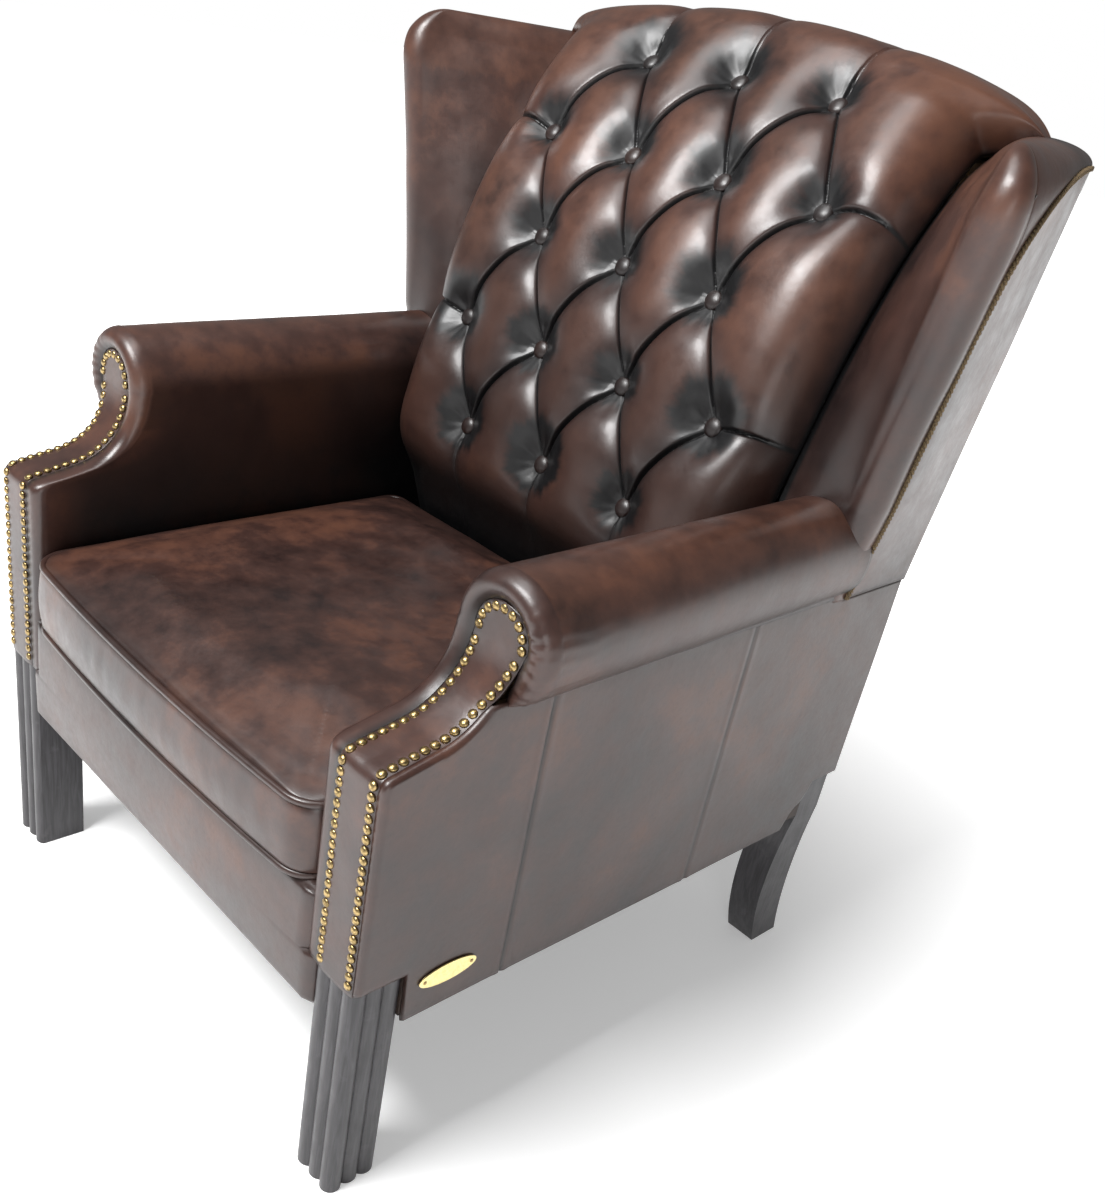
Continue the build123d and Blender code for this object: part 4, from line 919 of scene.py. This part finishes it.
def tuft_heights(xs, lengths):
    """Height of the cover over the line of the buttons, its shade and glow, at many places."""
    points = np.stack([xs, lengths], 1)
    nearest, to_button = np.full((2, len(points)), 9.0)
    above, total, bearing, halo = np.zeros((4, len(points)))
    dimple = np.ones(len(points))
    for start, end in FOLDS:
        gap, share = fold_gap(points, start, end)
        strength = 1.0
        if end[1] > BACK_END:
            strength = np.clip(1.1 - share, 0.25, 1)
        elif end[1] < BACK_START:
            strength = np.clip(1.0 - share * 1.2, 0.0, 1)
        apart = np.abs(gap) + (1 - strength) * 0.014
        above = np.where(apart < nearest, np.sign(gap), above)
        nearest = np.minimum(nearest, apart)
        total += np.exp(-apart / 0.010)
    smooth = np.maximum(0, -0.010 * np.log(np.maximum(total, 1e-9)))
    for index, spot in enumerate(ALL_BUTTONS):
        away = points - np.array(spot)
        gap = np.linalg.norm(away, axis=1)
        angle = np.arctan2(away[:, 1], away[:, 0])
        bearing = np.where(gap < to_button, angle, bearing)
        to_button = np.minimum(to_button, gap)
        dimple *= 1 - 0.98 * np.exp(-((gap / 0.029) ** 1.65))
        # Painted shade round each button: a near-black ring with streaked edges, reaching further
        # above the button.
        phase = 1.7 * index
        shade_streaks = np.sin(7 * angle + phase) + 0.7 * np.sin(17 * angle - 2 * phase)
        shade_streaks += 0.6 * np.sin(41 * angle + 3 * phase)
        reach = 0.044 + 0.006 * math.sin(2.3 * index)
        reach = reach * (1 + 0.22 * np.sin(angle - 0.2)) + 0.0026 * shade_streaks
        halo = np.maximum(halo, np.clip((reach - gap) / 0.024, 0, 1) ** 0.8)
    puff = 0.60 + 0.40 * (1 - np.exp(-smooth / 0.017))
    height = FULLNESS * puff * dimple
    clear = 1 - bell(to_button, 0.013)
    height += np.where(above > 0, 0.0022, -0.0012) * bell(nearest, 0.0085) * clear
    height -= 0.0062 * bell(nearest, 0.0016) * clear
    pucker = np.sin(bearing * 5 + 5 * to_button / 0.03) + 0.5 * np.sin(bearing * 13)
    height += 0.00028 * pucker * bell(to_button - 0.022, 0.012)
    # Painted shade: thin dark lines along the folds, broader beside them near the buttons.
    beside = np.exp(-nearest / 0.012)
    shade = np.maximum(halo, bell(nearest, 0.0026))
    shade = np.maximum(shade, np.maximum(0.62 * beside * bell(to_button, 0.075), 0.22 * beside))
    # Glow on the crests of the diamonds: rubbed wear and painted light.
    glow = np.clip(smooth / 0.030, 0, 1) * np.clip((to_button - 0.035) / 0.03, 0, 1)
    return height, np.clip(shade, 0, 1), glow


def near_detail(x, length):
    """Whether a place on the back lies by a fold or a button, where the mesh is finer."""
    if any(math.dist((x, length), spot) < 0.032 for spot in ALL_BUTTONS):
        return True
    for start, end in FOLDS:
        run = (end[0] - start[0], end[1] - start[1])
        size = math.hypot(*run)
        share = ((x - start[0]) * run[0] + (length - start[1]) * run[1]) / size**2
        off = abs((x - start[0]) * run[1] - (length - start[1]) * run[0]) / size
        if -0.03 < share < 1.03 and off < 0.0125:
            return True
    return False


# the buttoned middle of the back: its share of the grid and its half width
MIDDLE_SHARE, MIDDLE_WIDTH = 0.72, 0.213


def on_back(point):
    """Share across the back and length along its line, for a place on the flat grid."""
    return point.x * 2, mixed(BACK_START, BACK_END, point.y + 0.5)


def back_x(u, width):
    """Sideways place and how far the side has turned, for a share across the back."""
    if abs(u) < MIDDLE_SHARE:
        return MIDDLE_WIDTH * u / MIDDLE_SHARE, 0.0
    turn = (abs(u) - MIDDLE_SHARE) / (1 - MIDDLE_SHARE) * math.pi / 2
    return math.copysign(mixed(MIDDLE_WIDTH, width, math.sin(turn) ** 0.8), u), turn


def back_mesh(columns, rows):
    """The back's cover: buttoned and pleated, rolled at its sides and over the top."""
    mesh = bmesh.new()
    bmesh.ops.create_grid(mesh, x_segments=columns, y_segments=rows, size=0.5)
    fine = []
    for edge in mesh.edges:
        u, length = on_back((edge.verts[0].co + edge.verts[1].co) / 2)
        if abs(u) < 0.88 and near_detail(MIDDLE_WIDTH * u / MIDDLE_SHARE, length):
            fine.append(edge)
    bmesh.ops.subdivide_edges(mesh, edges=fine, cuts=1, use_grid_fill=True)
    bmesh.ops.triangulate(mesh, faces=[face for face in mesh.faces if len(face.verts) > 4])
    shade_layer = layer(mesh, "shade")
    glow_layer = layer(mesh, "glow")
    verts = list(mesh.verts)
    spots = []
    for vert in verts:
        u, length = on_back(vert.co)
        setback, z, angle = line_place(length, LINE_FOOT)
        x, turn = back_x(u, half_width(length, z - 0.04 * math.sin(angle)))
        spots.append((x, length, setback, z, angle, turn))
    tufted = tuft_heights(np.array([s[0] for s in spots]), np.array([s[1] for s in spots]))
    for vert, spot, height, shade, glow in zip(verts, spots, *tufted):
        x, length, setback, z, angle, turn = spot
        cap = eased(TOP_ROW + 0.005, TOP_ROW + 0.060, length)
        low = eased(-0.02, -0.12, length)
        evened = 0.75 * eased(TOP_ROW + 0.050, TOP_ROW + 0.105, length)
        full = mixed(float(height), 0.79 * FULLNESS, evened)
        full *= mixed(1.0, 0.80, eased(0.06, -0.02, length)) * mixed(1.0, 0.45, low)
        share = 1 - math.cos(turn) ** mixed(0.95, 0.55, cap) if turn else 0.0
        drop = mixed(CREASE_DROP * math.cos(min(angle, 1.2)), CAP_DROP, cap)
        inward = mixed(-full, drop, share)
        inward += cap * 0.043 * math.sin(angle) * (x / CAP_HALF) ** 2
        inward += 0.0012 * rumple((x, setback, z), 14, 31)
        setback += inward * math.cos(angle)
        vert.co = Vector((x, y_at(setback), z - inward * math.sin(angle)))
        # Painted shade: near black where the sides turn into the creases, at the foot behind the
        # cushion and more towards the lower back, where the glow's painted light also fades.
        edge = 0.95 * eased(0.80, 1.0, share)
        plain = eased(TOP_ROW + 0.115, TOP_ROW + 0.150, length)
        lower_back_shade = eased(0.34, 0.02, length)
        dark = max(float(shade) * (1 - plain), edge, 0.8 * low) + 0.30 * lower_back_shade
        vert[shade_layer] = min(1.0, dark)
        lit = 0.7 * (1 - 0.6 * lower_back_shade) * (1 - low) * (1 - eased(0.3, 0.9, share))
        vert[glow_layer] = float(glow) * lit
    return mesh


back = finished("buttoned_back", back_mesh(250, 320), LEATHER, replaces=["back_pad"])
walled(back, 0.004)


def button_heads():
    """Leather covered buttons, flat domes that sit in their dimples."""
    mesh = bmesh.new()
    shade = layer(mesh, "shade")
    for x, length in ALL_BUTTONS:
        setback, z, angle = line_place(length, LINE_FOOT)
        out = Vector((0, -math.cos(angle), math.sin(angle)))
        place = Vector((x, y_at(setback), z)) + out * 0.0015
        for vert in dome(mesh, place, out, (0.0112, 0.0112, 0.0056), 24, 14):
            vert[shade] = 0.62
    return mesh


finished("button_heads", button_heads(), LEATHER, replaces=["back_buttons"])

# ---- seat cushion

CUSHION = {
    "half": 0.281,
    "front": -0.020,
    "rear": 0.516,
    "bow": 0.012,
    "corner": 0.038,
    "rear_corner": 0.016,
    "low": 0.3426,
    "low_welt": 0.3469,
    "welt": 0.4269,
    "crown": 0.034,
}
CUSHION_MIDDLE = (CUSHION["front"] + CUSHION["rear"]) / 2
BOXING_STEPS = 14


def cushion_outline(inset):
    """Points round the cushion in plan, drawn in by inset, from the middle of the front."""
    half, front, rear = CUSHION["half"] - inset, CUSHION["front"] + inset, CUSHION["rear"] - inset
    corner, rear_corner = (CUSHION[end] + 0.2 * inset for end in ("corner", "rear_corner"))
    bow = (CUSHION["half"] ** 2 + CUSHION["bow"] ** 2) / (2 * CUSHION["bow"])
    angle = math.asin((half - corner) / (bow - corner))
    quarter = math.pi / 2
    front_middle = (0.0, front + bow)
    corner_middle = (half - corner, front + bow - (bow - corner) * math.cos(angle))
    rear_middle = (half - rear_corner, rear - rear_corner)
    line = [around(front_middle, bow, angle * step / 30 - quarter) for step in range(31)]
    for step in range(1, 15):
        line.append(around(corner_middle, corner, mixed(angle, quarter, step / 14) - quarter))
    line += [(half, mixed(corner_middle[1], rear_middle[1], step / 40)) for step in range(1, 40)]
    line += [around(rear_middle, rear_corner, quarter * step / 12) for step in range(13)]
    line += [(mixed(rear_middle[0], 0, step / 20), rear) for step in range(1, 20)]
    return line + [(0.0, rear)] + [(-x, setback) for x, setback in reversed(line[1:])]


# bearings round the middle of the cushion, and the distance to its outline on each
outline = sorted(
    (math.atan2(setback - CUSHION_MIDDLE, x), math.hypot(x, setback - CUSHION_MIDDLE))
    for x, setback in cushion_outline(0.0)
)
REACH_TABLE = list(zip(*outline))


def on_cushion(across, back, inset):
    """Point of the cushion's plan for a place on a square from -1 to 1, and its share outward."""
    share = max(abs(across), abs(back))
    if share == 0:
        return 0.0, CUSHION_MIDDLE, 0.0
    half_depth = (CUSHION["rear"] - CUSHION["front"]) / 2
    angle = math.atan2(back / share * half_depth, across / share * CUSHION["half"])
    reach = float(np.interp(angle, *REACH_TABLE, period=math.tau)) - inset
    out = 1 - (1 - share) ** 1.35
    x, setback = around((0.0, CUSHION_MIDDLE), reach * out, angle)
    return x, setback, out


def crown_height(across, back, x, setback):
    """Height of the cushion's top over its welt: full in the middle, with soft hollows."""
    full = ((1 - abs(across) ** 3.0) * (1 - abs(back) ** 3.0)) ** 0.52
    seat = 0.0035 * bell(x, 0.17) * bell(setback - 0.30, 0.11)
    ridge = 0.0045 * bell(setback - 0.43 + 0.35 * x * x, 0.030) * math.exp(-((x / 0.20) ** 4))
    wave = 0.0032 * rumple((x, setback, 0), 7, 41) + 0.0011 * rumple((x, setback, 0), 24, 44)
    return (CUSHION["crown"] + ridge - seat + wave) * full


def cushion_mesh(cells=110):
    """Boxed cushion with a crowned top: two squares laid over its plan, joined by its sides."""
    mesh = bmesh.new()
    shade = layer(mesh, "shade")
    top = bmesh.ops.create_grid(mesh, x_segments=cells, y_segments=cells, size=1.0)["verts"]
    edges = [edge for edge in mesh.edges if edge.is_boundary]
    places = {}
    for vert in top:
        places[vert] = across, back = vert.co.x, vert.co.y
        x, setback, out = on_cushion(across, back, 0.0055)
        z = CUSHION["welt"] + crown_height(across, back, x, setback)
        vert.co = Vector((x, y_at(setback), z))
        vert[shade] = max(0.15 * eased(0.46, 0.52, setback), 0.30 * eased(0.94, 1.0, out))
    for step in range(1, BOXING_STEPS + 1):
        before = {vert for edge in edges for vert in edge.verts}
        made = bmesh.ops.extrude_edge_only(mesh, edges=edges)["geom"]
        edges = [item for item in made if isinstance(item, bmesh.types.BMEdge) and item.is_boundary]
        share = step / BOXING_STEPS
        arch = math.sin(math.pi * share)
        inset = 0.003 - 0.0045 * arch + 0.0055 * (share == 1)
        for vert in {vert for edge in edges for vert in edge.verts}:
            near = (edge.other_vert(vert) for edge in vert.link_edges)
            places[vert] = places[next(root for root in near if root in before)]
            x, setback, out = on_cushion(*places[vert], inset)
            crease = 0.0007 * arch * rumple((x * 55, setback * 55, share * 2), 1, 61)
            grown = 1 + crease / math.hypot(x, setback - CUSHION_MIDDLE)
            y = y_at(mixed(CUSHION_MIDDLE, setback, grown))
            vert.co = Vector((x * grown, y, mixed(CUSHION["welt"], CUSHION["low_welt"], share)))
            vert[shade] = 0.15 * share
    base = bmesh.ops.create_grid(mesh, x_segments=cells, y_segments=cells, size=1.0)["verts"]
    for vert in base:
        x, setback, out = on_cushion(vert.co.x, vert.co.y, 0.0085)
        z = mixed(CUSHION["low"], CUSHION["low_welt"], out**8)
        vert.co = Vector((x, y_at(setback), z))
        vert[shade] = 0.3
    bmesh.ops.remove_doubles(mesh, verts=mesh.verts, dist=0.0006)
    bmesh.ops.recalc_face_normals(mesh, faces=mesh.faces)
    return mesh


def inflated(piece, seams, cap, pressure=4.0):
    """Let the filling press a cover out as cloth, held at its seams, smoothed and capped."""
    data = piece.data
    before = np.empty(len(data.vertices) * 3)
    data.vertices.foreach_get("co", before)
    piece.vertex_groups.new(name="seams").add(seams, 1.0, "REPLACE")
    cloth = piece.modifiers.new("cloth", "CLOTH")
    cloth.settings.quality = 5
    cloth.settings.use_pressure = True
    cloth.settings.uniform_pressure_force = pressure
    cloth.settings.effector_weights.gravity = 0
    cloth.settings.vertex_group_mass = "seams"
    for frame_number in range(1, 21):
        bpy.context.scene.frame_set(frame_number)
    shape = piece.evaluated_get(bpy.context.evaluated_depsgraph_get()).data
    after = np.empty_like(before)
    shape.vertices.foreach_get("co", after)
    piece.modifiers.remove(cloth)
    piece.vertex_groups.clear()
    bpy.context.scene.frame_set(1)
    moved = (after - before).reshape(-1, 3)
    ends = np.array([edge.vertices[:] for edge in data.edges])
    count = np.bincount(ends.ravel(), minlength=len(moved))[:, None]
    for turn in range(60):
        total = np.zeros_like(moved)
        np.add.at(total, ends[:, 0], moved[ends[:, 1]])
        np.add.at(total, ends[:, 1], moved[ends[:, 0]])
        moved = 0.5 * moved + 0.5 * total / count
        moved[seams] = 0.0
    travel = np.linalg.norm(moved, axis=1, keepdims=True)
    moved *= np.minimum(1.0, cap / np.maximum(travel, 1e-9))
    data.vertices.foreach_set("co", before + moved.reshape(-1))
    data.update()


def welt_mesh(radius):
    """Both rings of piping round the cushion."""
    mesh = bmesh.new()
    shade = layer(mesh, "shade")
    for z in (CUSHION["low_welt"], CUSHION["welt"]):
        path = [Vector((x, y_at(setback), z)) for x, setback in cushion_outline(0.0037)]
        path = [here for index, here in enumerate(path) if (here - path[index - 1]).length > 0.0002]
        tube(mesh, path, radius, 10, closed=True)
    for vert in mesh.verts:
        vert[shade] = 0.25
    bmesh.ops.recalc_face_normals(mesh, faces=mesh.faces)
    return mesh


cushion = finished(
    "seat_cushion_cover", cushion_mesh(), SEAT_LEATHER, body="cushion", replaces=["seat_cushion"]
)
stitched = [
    vert.index
    for vert in cushion.data.vertices
    if abs(vert.co.z - CUSHION["welt"]) < 0.0009 or vert.co.z < CUSHION["low_welt"] + 0.001
]
inflated(cushion, stitched, 0.005)
finished("cushion_welts", welt_mesh(0.0040), LEATHER, body="cushion", replaces=["cushion_piping"])


# ---- front apron and outside back

# share of the way down the apron, with its setback and height
APRON_LINE = [
    (0.0, 0.059, DECK_Z),
    (0.18, 0.006, DECK_Z),
    (0.24, 0.0, 0.336),
    (0.85, 0.0, 0.216),
    (0.91, 0.006, RAIL_BOTTOM),
    (1.0, 0.034, RAIL_BOTTOM),
]


def apron_place(u, v):
    """Point of the front apron: v runs from the deck, down the front and under the rail."""
    x = mixed(-1, 1, u)
    setback, z = traced(APRON_LINE, v)
    half = 0.2900 if z > LEG_TOP else 0.2999
    if z < DECK_Z - 0.002:
        setback += 0.011 * max(0.0, (abs(x) - 0.955) / 0.045) ** 2
    if 0.24 < v < 0.85:
        setback -= 0.004 * math.sin(math.pi * (v - 0.24) / 0.61) * (1 - x**6)
    shade = 0.35 * eased(0.30, 0.34, z) + 0.3 * eased(0.24, RAIL_BOTTOM, z)
    return (x * half, y_at(setback + 0.0005), z), shade


def outside_place(u, v):
    """Point of the outside back: upright, then leaning, its top turned in under the cap."""
    half = 0.3577 if v > 0.078 else 0.3095
    x = mixed(-half, half, u)
    rise = min(1.0, v / 0.95)
    turned = math.pi / 2 * max(0.0, v - 0.95) / 0.05
    drop = 0.020 * eased(0.290, 0.330, abs(x))
    z = mixed(RAIL_BOTTOM, 1.010 - drop, rise)
    swell = 0.003 * math.sin(math.pi * u) * math.sin(math.pi * rise)
    setback = outside_back(z) + swell - 0.001 - 0.030 * (1 - math.cos(turned))
    shade = 0.2 * eased(0.25, RAIL_BOTTOM, z) + 0.8 * eased(0.3, 1.2, turned)
    return (x, y_at(setback), z + (0.014 - 0.5 * drop) * math.sin(turned)), shade


shell("apron_cover", 90, 90, apron_place, -1, thick=0.003, replaces=["front_apron"])
shell("outside_back_cover", 60, 120, outside_place, 1, thick=0.004, replaces=["outside_back"])


# ---- oval plate with its two screws, left bare

PLATE_LOW, PLATE_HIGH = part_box("badge_plate")
PLATE_MIDDLE = [(low + high) / 2 for low, high in zip(PLATE_LOW, PLATE_HIGH)]
PLATE_HALF = [(high - low) / 2 for low, high in zip(PLATE_LOW, PLATE_HIGH)]


def plate_mesh():
    """Bevelled oval of sheet brass on the left side."""
    mesh = bmesh.new()
    oval = bmesh.ops.create_circle(mesh, segments=96, radius=1.0, cap_ends=True)["verts"]
    shape = Matrix.Translation((PLATE_LOW[0], *PLATE_MIDDLE[1:]))
    shape = shape @ Matrix.Rotation(math.pi / 2, 4, "Y")
    shape = shape @ Matrix.Diagonal((PLATE_HALF[2], PLATE_HALF[1], 1, 1))
    bmesh.ops.transform(mesh, matrix=shape, verts=oval)
    top = bmesh.ops.extrude_face_region(mesh, geom=mesh.faces[:])["geom"]
    lifted = [item for item in top if isinstance(item, bmesh.types.BMVert)]
    bmesh.ops.translate(mesh, vec=(2 * PLATE_HALF[0], 0, 0), verts=lifted)
    rim = [edge for edge in mesh.edges if all(vert in lifted for vert in edge.verts)]
    bmesh.ops.bevel(
        mesh, geom=rim, offset=0.0006, segments=3, profile=0.5, affect="EDGES", material=-1
    )
    bmesh.ops.recalc_face_normals(mesh, faces=mesh.faces)
    return mesh


def screw_mesh():
    """The plate's two domed screws, with turned slots."""
    mesh = bmesh.new()
    for side in (-1, 1):
        y = PLATE_MIDDLE[1] + side * (PLATE_HALF[1] - 0.0065)
        place = Vector((PLATE_HIGH[0], y, PLATE_MIDDLE[2]))
        head = bmesh.ops.create_uvsphere(mesh, u_segments=24, v_segments=12, radius=1.0)["verts"]
        shape = Matrix.Translation(place) @ Matrix.Diagonal((0.0010, 0.0022, 0.0022, 1))
        bmesh.ops.transform(mesh, matrix=shape, verts=head)
        for vert in head:
            off = vert.co - place
            if abs(off.z - 0.5 * off.y) < 0.0004 and off.x > 0:
                vert.co.x = place.x + 0.0003
    bmesh.ops.recalc_face_normals(mesh, faces=mesh.faces)
    return mesh


plate = plate_mesh()
finished("oval_plate", plate, PLATE_BRASS, slot="brass", replaces=["badge_plate"], flat=True)
finished("plate_screws", screw_mesh(), NAIL_BRASS, slot="brass", replaces=["badge_screws"])


# ---- floor, lights and camera

WHITE = (1, 1, 1, 1)
BLACK = (0, 0, 0, 1)


def softbox(name, place, aim, size, power):
    """A soft studio light that points at a place."""
    data = bpy.data.lights.new(name, "AREA")
    data.shape = "RECTANGLE"
    data.size, data.size_y = size
    data.energy = power
    lamp = linked(name, data)
    lamp.location = place
    lamp.rotation_mode = "QUATERNION"
    lamp.rotation_quaternion = (Vector(aim) - Vector(place)).to_track_quat("-Z", "Y")


def studio():
    """White paper sweep that glows as painted light, faintly by the chair and more strongly further
    off; white surroundings and soft lights.
    """
    paper, tree, main, where = shader("studio_paper")
    away = put(tree, "VectorMath", {0: where}, operation="LENGTH").outputs["Value"]
    # Painted light: the floor's glow, faint by the chair and strong further off.
    light = spread(tree, away, 0.5, 1.7, 0.30, 1.35)
    feed(tree, main, {"Base Color": (0.92, 0.92, 0.92, 1), "Roughness": 0.7})
    feed(tree, main, {"Emission Color": WHITE, "Emission Strength": light})
    mesh = bmesh.new()
    bmesh.ops.create_grid(mesh, x_segments=1, y_segments=1, size=12)
    filled("floor", mesh, paper)
    white, tree, main, where = shader("studio_white")
    feed(tree, main, {"Base Color": BLACK, "Specular IOR Level": 0.0})
    feed(tree, main, {"Emission Color": WHITE, "Emission Strength": 1.0})
    mesh = bmesh.new()
    bmesh.ops.create_uvsphere(mesh, u_segments=32, v_segments=16, radius=20)
    room = filled("white_room", mesh, white)
    for ray in ("diffuse", "glossy", "transmission", "shadow"):
        setattr(room, "visible_" + ray, False)
    world = bpy.data.worlds.new("studio")
    bpy.context.scene.world = world
    world.use_nodes = True
    feed(world.node_tree, world.node_tree.nodes["Background"], {0: WHITE, 1: 0.22})
    softbox("key", (-0.25, -1.85, 2.95), (0, 0, 0.55), (1.5, 1.0), 160)
    softbox("top", (-0.35, -0.35, 3.0), (0, -0.1, 0.5), (1.3, 1.0), 25)
    softbox("side", (2.4, -1.6, 0.9), (0.3, 0.1, 0.5), (1.0, 1.0), 12)


def photo_camera():
    """Camera where the photographer stood: a bearing, a height angle and a tilt."""
    bearing, height, roll = (math.radians(angle) for angle in (43.0, 30.1, 10.4))
    x, y = around((0, 0), math.cos(height), bearing - math.pi / 2)
    back_way = Vector((x, y, math.sin(height)))
    level_right = Vector((0, 0, 1)).cross(back_way).normalized()
    level_up = back_way.cross(level_right)
    right = level_right * math.cos(roll) + level_up * math.sin(roll)
    up = level_up * math.cos(roll) - level_right * math.sin(roll)
    data = bpy.data.cameras.new("camera")
    data.lens = 37.76
    data.sensor_width = 36.0
    data.shift_x, data.shift_y = 0.0374, 0.0818
    camera = linked("camera", data)
    turn = Matrix((right, up, back_way)).transposed().to_4x4()
    camera.matrix_world = Matrix.Translation((0.9929, -0.5496 + FRONT_Y, 1.0919)) @ turn
    bpy.context.scene.camera = camera


studio()
photo_camera()
bpy.context.scene.view_settings.view_transform = "Standard"
